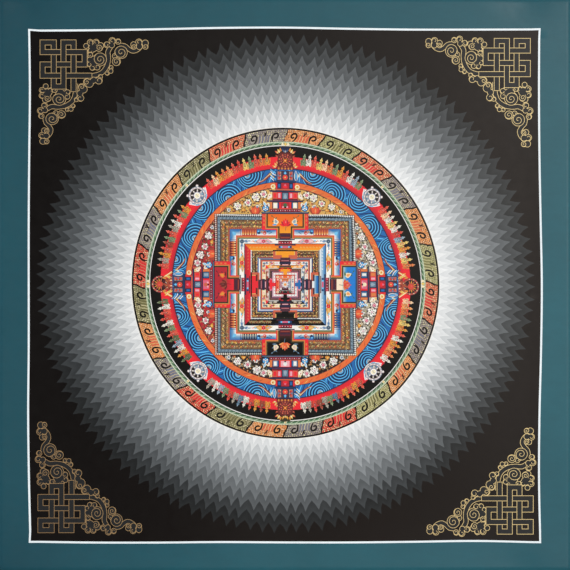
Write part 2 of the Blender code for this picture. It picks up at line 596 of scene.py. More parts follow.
def gold_corners(painting):
    """The same corner four times, turned over to fit each one."""
    for corner in CORNERS:
        x = (LINE_LEFT if corner.across > 0 else LINE_RIGHT) + corner.across * corner.inset_across
        z = (LINE_TOP if corner.down > 0 else LINE_FOOT) - corner.down * corner.inset_down

        def place(points, x=x, z=z, corner=corner):
            """Carries the unit's points to the corner; the arms past the knot are stretched."""
            p = np.asarray(points, float)
            stretched = KNOT_SIDE + (p - KNOT_SIDE) * (corner.stretch_across, corner.stretch_down)
            reach = np.where(p > KNOT_SIDE, stretched, p) * KNOT_UNIT
            return np.stack([x + corner.across * reach[:, 0], z - corner.down * reach[:, 1]], 1)

        cloud_arm(painting, place)
        cloud_arm(painting, lambda points, place=place: place(np.asarray(points, float)[:, ::-1]))
        knot(painting, place)


# ---------------------------------------------------------------- the mandala's rings
SCROLL_RING = (148.2, 160.8)
GREEN_RING = (143.2, 147.6)
BLACK_RING = (132.4, 143.4)
RED_RING = (120.6, 132.4)
WAVE_RING = (106.8, 119.6)
ORANGE_RING = (100.4, 106.2)

# Where each scroll begins, in degrees; they go orange, khaki, red, grey.
SCROLL_STARTS = (0.0, 14.3, 29.0, 43.9, 58.8, 74.4, 89.7, 104.9, 120.8, 135.1, 151.3, 165.5,
                 179.9, 194.2, 210.3, 224.9, 239.4, 254.5, 268.9, 284.6, 299.8, 314.8, 329.2, 344.1)
# Ground, deep stripes in the middle, pale scales, dark rims
SCROLL_PAINTS = (
    ("scroll_orange", "warm_red", "peach", "rust_brown"),
    ("khaki", "olive", "pale_straw", "dark_olive"),
    ("scroll_red", "scarlet", "peach", "rust_brown"),
    ("mauve_grey", "blue_grey", "pale_straw", "soot"),
)
SCROLL_SLANT = 0.38


def hook(brush, u, v, pale):
    """A dark curl, its stem on the side of the scroll's middle."""
    brush.dot(u - 0.1, v - 0.2, 3.9, 14, pale)
    t = np.linspace(0, 1, 15)
    a, r = np.radians(345 * t - 112), 3.5 - 2.3 * t**1.3
    curl = np.stack([u + r * np.sin(a), v + r * np.cos(a)], 1)
    stem = [(u - 1.5, v - 5.6), (u - 2.8, v - 3.4)]
    brush.line(np.vstack([stem, curl]), np.r_[0.9, 1.5, 1.9 - 0.2 * t], "ink")


def scroll(brush, length, reach, paints, rng):
    """One slanted scroll: scales, a striped middle, two dark curls and its outline."""
    ground, deep, pale, dark = paints
    half = length / 2
    foot = np.stack([np.linspace(-half, half, 9), np.full(9, -reach)], 1)
    brush.area(np.vstack([foot * (1, -1), foot[::-1]]), ground)
    across = int(length / 1.9)
    for row in range(7):
        v = -reach + 0.9 + 1.78 * row
        for k in range(across):
            u = -half + length * (k + (0.75 if row % 2 else 0.25)) / across
            if abs(u) < 7.6 and v < 1.4:
                continue
            x, z = u + rng.uniform(-0.35, 0.35), v + rng.uniform(-0.3, 0.3)
            rim = mixed(ground, dark, rng.uniform(0.5, 1.1))
            brush.dot(x, z, rng.uniform(0.7, 1.0), 6, rim)
            light = mixed(ground, pale, rng.uniform(0.15, 1.35))
            brush.dot(x + 0.15, z + 0.35, rng.uniform(0.5, 0.74), 6, light)
    for k in range(9):
        u = -7.4 + 14.8 * (k + 0.5) / 9
        wave = np.array([(u, -6.2), (u * 0.93 + 0.3, -3.4), (u * 0.95 - 0.2, -1.0), (u * 1.06, 1.7)])
        other, low, high = (deep, 0.5, 1.0) if k % 2 else (pale, 0.1, 0.7)
        brush.line(wave, (1.5, 1.3, 1.5, 0.5), mixed(ground, other, rng.uniform(low, high)))
        brush.line(wave + (0.85, 0), (0.5, 0.6, 0.55, 0.2), mixed(ground, dark, rng.uniform(0.6, 1.1)))
    brush.line([(-0.6, 0.0), (-0.3, 2.0), (0.7, 5.4)], (0.5, 2.0, 0.7), dark)
    brush.line([(-0.4, 3.0), (-2.2, 4.6)], (1.1, 0.5), dark)
    for part, place in zip(brush.halves(), (0.275, 0.27)):
        hook(part, length * place, -0.6, mixed(ground, pale, 0.25))
    edge = [(-half, -reach), (-half - 0.5, -0.4 * reach), (-half + 0.5, 0.3 * reach), (-half, reach)]
    brush.line(edge, (2.3, 1.2, 1.8, 1.3), "ink")
    brush.line([(-half, -reach + 0.1), (half, -reach + 0.1)], 0.8, "soot")


def scroll_ring(painting, rng):
    """Slanted scrolls in turns of orange, khaki, red and grey."""
    inner, outer = SCROLL_RING
    middle = (inner + outer) / 2
    full_ring(painting, OUTLINE, OUTLINE + 0.7, "white", 48)
    full_ring(painting, 0.5 * inner, OUTLINE, "ink", 48)
    for i, (start, end) in enumerate(zip(SCROLL_STARTS, (*SCROLL_STARTS[1:], 360.0))):
        paints = SCROLL_PAINTS[i % 4]
        if i % 4 == 2 and 100 < start < 300:
            paints = ("vivid_red", *paints[1:])
        if i % 4 == 1 and start > 180:
            paints = ("dull_khaki", *paints[1:])

        def place(points, angle=(start + end) / 2):
            u, v = points.T
            return on_ring(np.stack([u + v * SCROLL_SLANT, v], 1), middle, angle)

        length = math.radians(end - start) * middle
        scroll(Brush(painting, place), length, (outer - inner) / 2, paints, rng)


def green_ring(painting, rng):
    """Striped green band, white at its inner edge, with a cream joint at every eighth of the circle."""
    inner, outer = GREEN_RING
    edges = (inner - 0.3, inner + 1.1, inner + 1.6, inner + 2.7, outer - 0.7, SCROLL_RING[0])
    stripes = ("chalk", "dark_olive", "deep_green", "green", "pale_green")
    for start, end, paint in zip(edges, edges[1:], stripes):
        full_ring(painting, start, end, paint, 48)
    for i in range(300):
        line = [(-2.2, -1.1), (0, 0.0), (2.2, 1.1)]
        line = on_ring(line, inner + 2.6, 1.2 * i + rng.uniform(-0.2, 0.2))
        painting.line(line, (0.2, 0.55, 0.2), ("pale_green", "deep_green")[i % 2])
        painting.fill(on_ring(circle(0, 0, 0.34, 5), outer + 0.1, 1.2 * i), "olive")
    for i in range(8):
        wide = 4.6 if i in (0, 2, 6) else 1.4
        joint = np.array([(-wide / 3, 0), (0, 2.1), (wide / 3, 0), (0, -2.6)])
        for k in (-1, 0, 1):
            outline = on_ring(joint + (k * wide / 1.6, 0.2), inner + 2.0, 45 * i)
            painting.fill(outline, "cream" if k else "straw")


BUD_PAINTS = (
    "marigold", "bone", "warm_red", "steel", "sage", "marigold", "slate", "warm_red", "moss", "dust",
    "marigold", "bone", "warm_red", "vivid_red", "brick",
)
WARM_BUD_PAINTS = (
    "marigold", "peach", "warm_red", "orange", "bone", "marigold", "sage", "warm_red", "steel",
    "apricot", "vivid_red", "straw",
)
BUDS = 12  # between a finial and the wheel next to it
BUDS_FROM, BUDS_TO = 7.2, 38.2  # degrees from the finial
BUD_FOOT = 124.9  # radius
WHEEL_RADIUS = 130.3  # of the wheels' middles


def bud(brush, first, second, rng):
    """A jewelled lotus bud between two leaves, on a seat of petals."""
    lean = rng.uniform(-0.6, 0.6)
    tall = rng.uniform(0.9, 1.07)
    pale, deep = mixed(first, "white", 0.3), mixed(first, "soot", 0.45)
    for half in brush.halves():
        half.leaf(0.7, 1.6, 6.0 + lean * half.side, 2.7, 25 + 5 * lean, first, 5, 0.8)
        half.leaf(1.1, 2.4, 3.6, 1.1, 27, deep, 3)
        for turn in (102, 142):
            half.leaf(0.5, 2.2, 3.0, 1.9, turn, first, 4)
    brush.leaf(lean * 0.3, 0.9, 9.0 * tall, 4.7, 0, first, 7, 0.75)
    brush.dot(lean * 0.7, 10.2 * tall, 1.45, 9, first)
    brush.leaf(lean * 0.7, 11.0 * tall, 2.2, 1.0, 0, pale, 3)
    brush.leaf(lean * 0.3 - 0.2, 3.4, 4.6, 1.9, 0, second)
    brush.leaf(lean * 0.3 - 0.1, 4.0, 2.9, 1.0, 0, pale, 4)
    brush.dot(lean * 0.5, 9.0 * tall, 0.45, 5, "soot")
    brush.dot(lean * 0.3 + 0.8, 8.2 * tall, 0.5, 5, pale)
    for half in brush.halves():
        half.line([(2.2, 2.2), (2.2, 4.8), (1.4, 7.6 * tall)], 0.42, "soot")
        half.dot(1.5, 1.7, 0.5, 5, deep)


def lotus_wheel(painting, angle):
    """A beaded wheel with eight spokes that stands in a bowl of waves."""
    x, z = on_ring([(0, 0)], WHEEL_RADIUS, angle)[0]
    water = Brush(painting, lambda points: on_ring(points, WHEEL_RADIUS, angle))
    wheel = Brush(painting)
    left = [(-12.6, 0.6), (-10.4, -3.6), (-6.6, -7.8)]
    bowl = curve([*left, (0, -10.4), *[(-u, v) for u, v in left[::-1]]], 4)
    water.area(np.vstack([bowl, [(0, 3.0)]]), "chalk")
    water.area(np.vstack([bowl * (0.9, 0.88), [(0, 2.6)]]), "azure")
    for half in water.halves():
        for k in range(5):
            wave = [(5.0, -0.6 - 0.9 * k), (8.2, -1.6 - 1.1 * k), (11.0 - 1.4 * k, -0.5 - 1.9 * k)]
            half.line(wave, 0.85, ("white", "sky", "steel")[k % 3], 3)
    for turn in (-90, -45, 45, 90):
        knob = around(x, z, 10.0, angle + turn)
        wheel.dot(*knob, 1.45, 9, "petal_grey")
        wheel.dot(*knob, 0.85, 7, "white")
    for size, steps, paint in ((9.3, 32, "slate"), (8.9, 32, "petal_grey"), (7.2, 30, "soot")):
        wheel.dot(x, z, size, steps, paint)
    wheel.area(arc(x, z, 7.0, angle + 84, angle + 276, 16), "slate")
    for turn, paint in ((112, "steel"), (150, "blue_grey"), (196, "steel"), (236, "dust")):
        wheel.leaf(x, z, 6.6, 3.0, angle + turn, paint, 4, 1.4)
    for i in range(28):
        bead = around(x, z, 8.1, angle + 360 * i / 28)
        wheel.dot(*bead, 0.66, 6, ("white", "petal_grey", "bone", "steel")[i % 4])
        wheel.dot(*around(x, z, 8.9, angle + 360 * (i + 0.5) / 28), 0.3, 5, "soot")
    for i in range(8):
        turn = angle + 45 * i + 3
        wheel.leaf(x, z, 7.2, 1.5, turn, "petal_grey", 4, 0.9)
        wheel.leaf(*around(x, z, 4.9, turn), 1.7, 1.5, turn, "bone", 4, 0.6)
    for size, steps, paint in ((3.9, 18, "blue_grey"), (3.4, 18, "white"), (2.3, 14, "cream")):
        wheel.dot(x, z, size, steps, paint)
    swirl = [(x - 1.6, z + 1.2), (x - 0.2, z + 0.5), (x + 0.2, z - 0.5), (x + 1.6, z - 1.2)]
    wheel.line(swirl, 0.5, "steel", 3)


def bud_ring(painting, rng):
    """The black and the red ring, with the buds that stand on the red one and the four wheels."""
    full_ring(painting, *BLACK_RING, "lamp_black", 36)
    full_ring(painting, *RED_RING, by_radius("crimson", "scarlet", 119.5, 124.5), 36)
    for i in range(120):
        foot = [(-1.5, 0), (0, rng.uniform(0.2, 0.9)), (1.5, 0), (0, -0.6)]
        painting.fill(on_ring(foot, RED_RING[1], 3 * i), "crimson")
    for octant in range(8):
        paints = []
        for i in range(BUDS):
            share = (i + 0.5) / BUDS
            if octant % 2:
                share = 1 - share
            start = 45 * octant + (BUDS_FROM if octant % 2 == 0 else 45 - BUDS_TO)
            angle = start + share * (BUDS_TO - BUDS_FROM)
            palette = WARM_BUD_PAINTS if octant in (7, 0, 1, 2) else BUD_PAINTS
            paints.append(rng.choice([p for p in palette if p not in paints[-1:]]))
            second = rng.choice(("maroon", "navy", "soot", "crimson", "dark_olive"))
            reach = BUD_FOOT + rng.uniform(-0.6, 0.6)
            bud(Brush(painting, lambda p, a=angle, r=reach: on_ring(p, r, a)), paints[-1], second, rng)
    for i in range(4):
        lotus_wheel(painting, 45 + 90 * i)


WHORL_LINES = ((0.0, "whorl_blue"), (0.55, "foam"), (1.35, "azure"), (1.75, "whorl_blue"))  # insets
# Middles of the whorls in each quarter, in degrees, by turns from the outer and the inner edge.
WHORLS = (
    (13.8, 26.8, 40.7, 55.0, 70.8), (14.8, 29.1, 42.8, 57.5, 72.0),
    (14.0, 27.3, 42.4, 57.3, 72.8), (12.4, 26.5, 41.5, 56.0, 70.4),
)


def half_whorl(x_right, x_left, height, steps=26):
    """An egg-shaped loop, wider on its right side."""
    a = np.linspace(0, math.tau, steps, endpoint=False)
    across = np.where(np.sin(a) > 0, x_right, x_left) * np.sin(a)
    return np.stack([across, height * np.cos(a)], 1)


def wave_ring(painting):
    """Water in half whorls; those from the inner edge lie over those from the outer one."""
    inner, outer = WAVE_RING
    full_ring(painting, inner - 1, outer + 0.5, "azure", 36)
    for k in range(200):
        ripple = [(-4.2, -7.0), (-1.4, -2.2), (1.6, 2.4), (5.0, 7.0)]
        ripple = on_ring(ripple, (inner + outer) / 2, 1.8 * k)
        paint = ("foam", "whorl_blue", "azure", "whorl_blue")[k % 4]
        painting.line(ripple, (0.6, 1.1, 1.1, 0.5), paint)
    for first, radius, way in ((0, outer - 0.2, -1), (1, inner + 0.2, 1)):
        angles = [90 * quarter + step for quarter, row in enumerate(WHORLS) for step in row[first::2]]
        for angle in angles:
            water = Brush(painting, lambda points, a=angle: on_ring(points, radius, a))
            for k in range(5, 0, -1):
                right, left, height = 1.2 + 3.05 * k, 1.0 + 2.15 * k, 1.0 + 2.8 * k
                for inset, paint in WHORL_LINES:
                    water.area(half_whorl(right - inset, left - 0.87 * inset, height - inset), paint)
            water.dot(0.2, 0, 2.3, 12, "steel")
            water.dot(0.2, 0, 1.6, 10, "navy")
            for k in range(4):
                water.dot(-1.4 + 1.0 * k, (0.5 + 0.5 * (k % 2)) * way, 0.42, 6, "bone")
    full_ring(painting, outer, outer + 1.1, "navy", 36)
    full_ring(painting, ORANGE_RING[1], inner, "navy", 36)


def orange_ring(painting, rng):
    """An orange band with short brush strokes along it."""
    inner, outer = ORANGE_RING
    full_ring(painting, inner, outer, by_radius("orange", "ring_orange", inner - 1, outer - 2), 36)
    for i in range(150):
        line = [(-2.6, -1.5), (0, rng.uniform(-0.5, 0.5)), (2.6, 1.7)]
        paint = ("orange", "brick", "ring_orange", "scarlet")[i % 4] if i % 7 else "straw"
        line = on_ring(line, (inner + outer) / 2 + rng.uniform(-1.2, 1.2), 2.4 * i)
        painting.line(line, (0.15, 0.6, 0.15), paint)


# ---------------------------------------------------------------- the garden round the palace
# Of the top, right, foot and left side: ground, shade, five leaf paints, petals, size of the blossoms.
GARDENS = (
    ("honey", "olive", ("ochre", "tan", "loam", "straw", "brick"), "cream", 1.0),
    ("dust", "khaki", ("cream", "loam", "olive", "bone", "moss"), "eggshell", 1.14),
    ("soot", "dark_olive", ("tan", "moss", "loam", "dust", "amber"), "eggshell", 1.05),
    ("crimson", "brown", ("brick", "tan", "loam", "rust", "brick"), "shell", 1.0),
)
# Blossoms of one half side: degrees from the middle of the side, radius, size.
Blossom = namedtuple("Blossom", "angle radius size tint")
BLOSSOMS = (
    Blossom(13.4, 95.8, 3.9, "pink"),
    Blossom(18.4, 95.2, 4.5, "white"),
    Blossom(24.8, 93.2, 3.7, "pink"),
    Blossom(31.6, 95.2, 4.1, "white"),
    Blossom(37.6, 97.0, 2.2, "steel"),
    Blossom(20.6, 86.2, 2.6, "steel"),
)


def blossom(brush, x, z, size, tint, turn, petals):
    """A round flower with dark spots; a white one or one with a coloured middle."""
    brush.dot(x, z, size * 1.08, 14, "soot")
    brush.wreath(x, z, size * 0.6, size * 0.4, 9, ("white", petals), start=turn)
    brush.dot(x, z, size * 0.5, 10, tint)
    brush.dot(x + 0.2, z - 0.2, size * 0.22, 7, {"pink": "rose", "steel": "azure"}.get(tint, "blush"))
    for i in range(12):
        spot = around(x, z, size * (0.8 if i % 2 else 0.42), turn + 12 + 30 * i)
        brush.dot(*spot, size * 0.13, 5, "soot" if tint == "white" or i % 3 == 0 else "plum")


def garden(painting, rng):
    """Flowers, gold scroll leaves and jewels on each side's own ground."""
    edge = ORANGE_RING[0]
    for quarter in range(4):
        side = arc(*CENTRE, edge + 0.3, 90 * quarter - 45, 90 * quarter + 45, 40)
        painting.fill(np.vstack([side, [CENTRE]]), GARDENS[quarter][0])
    full_ring(painting, edge - 0.5, edge + 0.3, "maroon", 36)
    free = Brush(painting)
    for quarter, (_, shade, leaves, petals, grown) in enumerate(GARDENS):
        for n in range(560):
            angle = rng.uniform(-42.5, 42.5)
            wall = 75.0 / math.cos(math.radians(angle))
            if wall > 99.0:
                continue
            radius = rng.uniform(wall, 99.6)
            if abs(math.radians(angle)) * radius < 14.5:
                continue
            x, z = on_ring([(0, 0)], radius, 90 * quarter + angle)[0]
            turn, length = rng.uniform(0, 360), rng.uniform(1.7, 3.2)
            paint = leaves[n % 5] if n % 3 else rng.choice(("brown", "soot", shade))
            free.leaf(x, z, length, 1.5, turn, paint, 3)
        brush = Brush(painting, lambda points, q=quarter: in_quarter(points, q))
        for half in brush.halves():
            for _ in range(16):
                angle = half.side * rng.uniform(12, 39)
                wall = 77.0 / math.cos(math.radians(angle))
                x, z = on_ring([(0, 0)], rng.uniform(wall, max(wall, 98.0)), 90 * quarter + angle)[0]
                curl = spiral(x, z, rng.uniform(1.5, 2.3), 0.3, rng.uniform(0, 360), half.side * 1.2, 9)
                painting.line(curl, 0.55, rng.choice(("brown", "cream", "soot", leaves[0])))
            for b in BLOSSOMS:
                radius = b.radius + rng.uniform(-0.4, 0.4)
                angle = 90 * quarter + half.side * b.angle + rng.uniform(-0.5, 0.5)
                spot = on_ring([(0, 0)], radius, angle)[0]
                blossom(free, *spot, b.size * grown, b.tint, rng.uniform(0, 72), petals)
            jars = ((44.0, 75.4, 5.8, 4.6, "marigold"), (53.6, 74.8, 3.6, 4.0, "brick"))
            for u, v, wide, tall, paint in jars:
                half.leaf(u, v, tall, wide, 0, "brown", 5, 0.5)
                half.leaf(u, v + 0.4, tall - 0.8, wide - 0.9, 0, paint, 5, 0.5)
                half.leaf(u - 0.4 * half.side, v + 1.4, tall * 0.4, wide * 0.3, 0, "straw")
            for k, turn in enumerate((-58, 58, -30, 30, 0)):
                paint = ("brick", "brick", "ember", "vivid_red", "ember")[k]
                half.leaf(31.6, 73.8, 8.2, 4.6, half.side * turn, paint, 6)
                half.leaf(31.6, 74.6, 4.6, 1.6, half.side * turn, ("apricot", "straw")[k % 2], 4)


# ---------------------------------------------------------------- the palace
PALACE = (0.2, -304.5)  # its middle, a little lower than the rings'
UNIT = 1.0526  # the palace is laid out in this unit, which is also that of the tables below
SIDE_PAINTS = ("yellow", "azure", "lamp_black", "scarlet")  # top, right, foot and left


def in_palace(points, quarter):
    """Points given along one side of the palace (clockwise) and out from its middle."""
    return moved(np.asarray(points, float) * UNIT, *PALACE, turn=90 * quarter)


def palace_sides(painting):
    """A brush for the palace's top, right, foot and left side."""
    return [Brush(painting, lambda points, q=quarter: in_palace(points, q)) for quarter in range(4)]


def square_bands(painting, *bands):
    """Each is from, to and one paint, or four paints for the top, right, foot and left side."""
    for inner, outer, *paints in bands:
        for brush, paint in zip(palace_sides(painting), paints * (4 // len(paints))):
            brush.band(inner, outer, paint)


def side_wash(inner_paint, outer_paint, inner, outer, quarter):
    """A wash outwards across one side of the palace."""
    a = math.radians(90 * quarter)

    def wash(x, z):
        v = ((x - PALACE[0]) * math.sin(a) + (z - PALACE[1]) * math.cos(a)) / UNIT
        return mixed(inner_paint, outer_paint, np.clip((v - inner) / (outer - inner), 0, 1))

    return wash


def leafy_band(painting, inner, outer, rng, pitch, ground, size):
    """Gold leaf scroll on brown: a waving stem with crowded leaves and berries."""
    square_bands(painting, (inner, outer, ground))
    middle, reach = (inner + outer) / 2, (outer - inner) / 2
    rows = np.linspace(-0.8, 0.8, int(2 * reach / (1.75 * size)))
    count = int(2 * outer / pitch)
    for brush in palace_sides(painting):
        for i in range(count):
            u = -outer + (i + 0.5) * 2 * outer / count
            flip = 1 if i % 2 else -1
            for n, v in enumerate(rows):
                x, z = u + rng.uniform(-0.5, 0.5), middle + v * reach + rng.uniform(-0.25, 0.25)
                if abs(x) > z:
                    continue
                paint = rng.choice(("tan", "ochre", "khaki", "bronze", "tan", "straw", "rust", "amber"))
                turn = flip * rng.uniform(20, 75) + 180 * (n % 2)
                brush.leaf(x, z - 0.9 * size, 2.5 * size, 1.45 * size, turn, paint, 3)
                z, radius = z + rng.uniform(-0.6, 0.6), rng.uniform(0.3, 0.55) * size
                paint = rng.choice(("soot", "brown", "brick", "cream", "soot", "brown"))
                brush.dot(x + flip * 0.8 * size, z, radius, 5, paint)
            if abs(u) + pitch / 2 < middle:
                bend = (u, middle + flip * 0.45 * reach)
                brush.line([(u - pitch / 2, middle), bend, (u + pitch / 2, middle)], 0.4, "soot", 2)


def beads(brush, radius, size, pitch, paint, limit=None):
    """A row of beads along one side, as far as limit to both sides of its middle."""
    limit = limit or radius
    count = int(2 * limit / pitch)
    for i in range(count + 1):
        brush.dot(-limit + i * 2 * limit / count, radius, size, 7, paint)


def small_flower(brush, u, v, size, petals, heart, leaves):
    """A lotus seen from above, with leaves to both sides along the band."""
    pale = mixed(leaves, "white", 0.35)
    for way in (-brush.side, brush.side):
        for reach, spread, paint in ((3.1, 62, leaves), (3.9, 90, pale), (3.1, 118, leaves)):
            brush.leaf(u, v, size * reach, size, way * spread, paint, 4)
    brush.wreath(u, v, size * 0.62, size * 0.5, 7, (petals,))
    brush.dot(u, v, size * 0.55, 8, heart)
    brush.dot(u, v, size * 0.2, 5, "cream")


def outer_court(painting, rng):
    """From the beaded wall in to the green line."""
    sides = palace_sides(painting)
    square_bands(painting, (67.6, 70.4, "ink"))
    for quarter, brush in enumerate(sides):
        beads(brush, 69.3, 0.82, 1.9, ("chalk", "chalk", "bone", "shell")[quarter])
        beads(brush, 68.0, 0.5, 1.9, ("steel", "steel", "steel", "salmon")[quarter], 68.9)
    square_bands(
        painting,
        (64.3, 67.7, "ink"),
        (64.8, 67.2, "wall_blue"),
    )
    for brush in sides:
        for i in range(72):
            u = -65 + 130 * (i + 0.5) / 72
            brush.line([(u - 0.4, 65.3), (u + 0.35, 66.8)], 0.42, "navy" if i % 2 else "steel")
    leafy_band(painting, 57.0, 64.3, rng, 2.2, "loam", 1.0)
    square_bands(painting, (55.4, 57.0, "brick"))
    for brush in sides:
        beads(brush, 56.2, 0.36, 1.9, "tan")
    grounds = ("brick", "deep_blue", "navy", "oxblood")
    flames = (("rust", "azure", "slate", "rust"), ("ochre", "loam", "dust", "ochre"), ("cream",) * 4)
    pearls = ((26.6, 52.4, 2.0, "azure"), (26.2, 51.6, 1.3, "navy"), (26.8, 53.2, 0.9, "sky"),
              (20.6, 51.4, 1.9, "warm_red"), (20.4, 52.6, 1.3, "brick"), (20.9, 50.9, 0.8, "pink"))
    for quarter, brush in enumerate(sides):
        brush.band(49.1, 55.4, side_wash("white", "azure", 49.6, 54.2, quarter))
        for half in brush.halves():
            small_flower(half, 23.4, 52.6, 1.3, "dust", "crimson", "blue_grey")
            for k in range(6):
                u = half.side * (29.6 + 2.5 * k)
                brush.box(u - 1.3, 49.1, u + 1.3, 55.4, grounds[quarter])
                for shrink, paints in zip((1.0, 0.68, 0.36), flames):
                    brush.leaf(u, 49.3, 5.6 * shrink, 2.2 * shrink, 0, paints[quarter])
            for u, v, size, paint in pearls:
                half.dot(u, v, size, 9, paint)
            cloud_line = [(16.5, 50.4), (13.5, 52.3), (18.5, 52.6), (14.5, 54.2)]
            half.line(cloud_line, 0.5, "steel" if quarter % 2 else "deep_blue", 4)
            half.line([(44.6, 49.1), (44.6, 55.4)], 0.5, "navy")
            half.leaf(49.3, 49.5, 4.6, 2.8, 42, "sky")
    square_bands(
        painting,
        (48.0, 49.2, "vivid_red", "ember", "ember", "ember"),
        (46.8, 48.0, "amber", "amber", "bronze", "bronze"),
        (45.7, 46.8, "deep_green"),
    )


def flowered_band(painting):
    """The white band with fans, flowers and sprigs."""
    square_bands(painting, (40.9, 45.7, "white"))
    for quarter, brush in enumerate(palace_sides(painting)):
        fans = ("straw", "ochre", "honey") if quarter else ("pink", "blush", "petal_grey")
        for half in brush.halves():
            for k, (reach, paint) in enumerate(zip((9.6, 8.2, 6.6), fans)):
                for way in (-1, 1):
                    half.area([(21.6, 41.5 + 0.2 * k), (21.6 + way * reach * 0.6, 41.2 + 0.2 * k),
                               (21.6 + way * reach, 42.2), (21.6 + way * reach * 0.55, 45.1 - 0.3 * k),
                               (21.6, 45.3 - 0.3 * k)], paint)
            petals, leaves = ("scarlet", "ochre") if quarter else ("rose", "pink")
            small_flower(half, 21.6, 43.3, 2.0, petals, "crimson", leaves)
            for length, turn, paint in ((5.0, -70, "steel"), (6.0, -90, "azure"), (5.0, -110, "steel")):
                half.leaf(41.6, 43.3, length, 1.3, turn, paint, 4)
            sprigs = (("dust", "tan"), ("pink", "dust"), ("steel", "ochre"), ("tan", "pink"))
            for k, (first, second) in enumerate(sprigs):
                turn = 60 + 50 * (k % 2)
                half.leaf(13.2 + 1.5 * k, 42.4 + 1.5 * (k % 2), 2.9, 1.2, turn, first)
                half.leaf(27.6 + 1.3 * k, 42.3 + 1.6 * (k % 2), 2.9, 1.2, turn, second)
            half.leaf(34.4, 43.3, 3.0, 1.4, 75, "steel")
            half.leaf(31.0, 43.3, 3.0, 1.4, -75, "sky")
            for size, steps, paint in ((2.3, 10, "slate"), (1.4, 9, "navy"), (0.6, 6, "steel")):
                half.dot(43.2, 43.2, size, steps, paint)
    square_bands(painting, (40.4, 41.0, "navy"))


def coloured_walk(painting):
    """The band in the four sides' own colours, with curls, and leaves at the foot."""
    washes = (
        ("yellow", "deep_orange", 34.8, 40.0), ("white", "azure", 34.4, 40.6),
        ("lamp_black", "lamp_black", 34.8, 40.0), ("scarlet", "crimson", 34.8, 40.0),
    )
    curl_paints = ("straw", "white", "bronze", "orange")
    for quarter, brush in enumerate(palace_sides(painting)):
        brush.band(34.5, 40.4, side_wash(*washes[quarter], quarter))
        for half in brush.halves():
            for k in range(7):
                u = 15.5 + 3.2 * k
                for n in range(5 if quarter == 2 else 0):
                    paint = ("bronze", "tan", "brick", "khaki", "loam")[(n + k) % 5]
                    half.leaf(u, 36.4 + 0.4 * (n % 2), 2.6, 1.1, -70 + 36 * n, paint, 4)
                curl = spiral(u, 37.4, 1.1, 0.2, 90, 0.9, 7)
                half.line(curl, 0.36 if quarter != 2 else 0.6, curl_paints[quarter])


def innermost_bands(painting):
    """From the white band round the inmost court to the frame of the lotus."""
    sides = palace_sides(painting)
    square_bands(painting, (19.3, 22.9, "chalk", "bone", "cream", "cream"))
    sprigs = ((10.4, 20.4, 70), (15.6, 21.9, -70), (18.4, 20.2, 60), (19.6, 22.0, -80))
    sprig_paints = (("blush", "slate"), ("azure", "plum"), ("soot", "loam"), ("brick", "slate"))
    for quarter, brush in enumerate(sides):
        for half in brush.halves():
            small_flower(half, 13.4, 21.1, 1.15, "rose", "crimson", "ochre")
            half.leaf(17.2, 21.1, 2.8, 1.3, 80, "slate")
            half.dot(21.1, 21.1, 1.2, 8, "slate")
            half.leaf(9.4, 21.1, 2.6, 1.2, -80, "pink")
            for k, (u, v, turn) in enumerate(sprigs):
                half.leaf(u, v, 2.6, 1.1, turn, sprig_paints[quarter][k % 2], 4)
    square_bands(
        painting,
        (18.9, 19.4, "maroon"),
        (16.6, 18.9, "yellow", "slate", "soot", "brick"),
    )
    wedges = ((13.4, 17.0, 4.8, 54), (15.6, 17.4, 4.6, 62), (8.0, 17.3, 4.4, 84), (12.8, 18.2, 4.0, 94))
    for quarter, brush in enumerate(sides):
        paints = (SIDE_PAINTS[quarter],) * 2 + (("peach", "bone", "putty", "shell")[quarter],) * 2
        for half in brush.halves():
            for (u, v, length, turn), paint in zip(wedges, paints):
                half.leaf(u, v, length, 2.1, turn, paint)
    square_bands(
        painting,
        (16.0, 16.6, "chalk"),
        (13.3, 16.0, "brown", "plum", "plum", "soot"),
    )
    for brush in sides:
        beads(brush, 15.3, 0.38, 1.2, "bronze", 15.0)
        beads(brush, 14.2, 0.38, 1.2, "rosewood", 14.0)
    square_bands(
        painting,
        (12.9, 13.4, "navy"),
        (11.6, 12.9, "rosewood", "lotus_pink", "heather", "blush"),
        (9.9, 11.6, "chalk"),
    )
    for brush, paint in zip(sides, ("rust", "azure", "slate", "scarlet")):
        beads(brush, 10.7, 0.45, 3.1, paint, 9.3)
    square_bands(
        painting,
        (9.0, 9.9, "crimson"),
        (5.6, 9.0, "deep_orange", "bone", "soot", "ember"),
    )
    jewels = (
        (7.6, 7.5, 1.3, ("cream", "chalk", "petal_grey", "cream"), "crimson"),
        (5.0, 7.4, 0.9, ("rose", "slate", "soot", "pink"), "cream"),
        (2.8, 7.6, 0.8, ("white", "azure", "crimson", "scarlet"), "navy"),
    )
    for quarter, brush in enumerate(sides):
        for half in brush.halves():
            for u, v, size, paints, heart in jewels:
                half.dot(u, v, size, 8, paints[quarter])
                half.dot(u, v, size * 0.42, 6, heart)
        beads(brush, 6.2, 0.34, 1.3, ("chalk", "rose", "chalk", "cream")[quarter], 5.6)
    square_bands(painting, (5.2, 5.7, "navy"))


def inner_court(painting, rng):
    """From the white flowered band to the innermost square."""
    flowered_band(painting)
    coloured_walk(painting)
    square_bands(painting, (33.3, 34.6, "amber", "slate", "slate", "slate"))
    for brush, paint in zip(palace_sides(painting), ("straw", "dust", "white", "white")):
        beads(brush, 33.9, 0.62, 1.5, paint)
    leafy_band(painting, 27.6, 33.4, rng, 1.9, "brown", 0.78)
    square_bands(
        painting,
        (26.4, 27.6, "dusk_rose", "deep_blue", "deep_blue", "azure"),
        (24.9, 26.4, "blue_grey", "white", "pale_slate", "white"),
        (24.3, 24.9, "navy"),
        (22.9, 24.3, "rust"),
    )
    innermost_bands(painting)


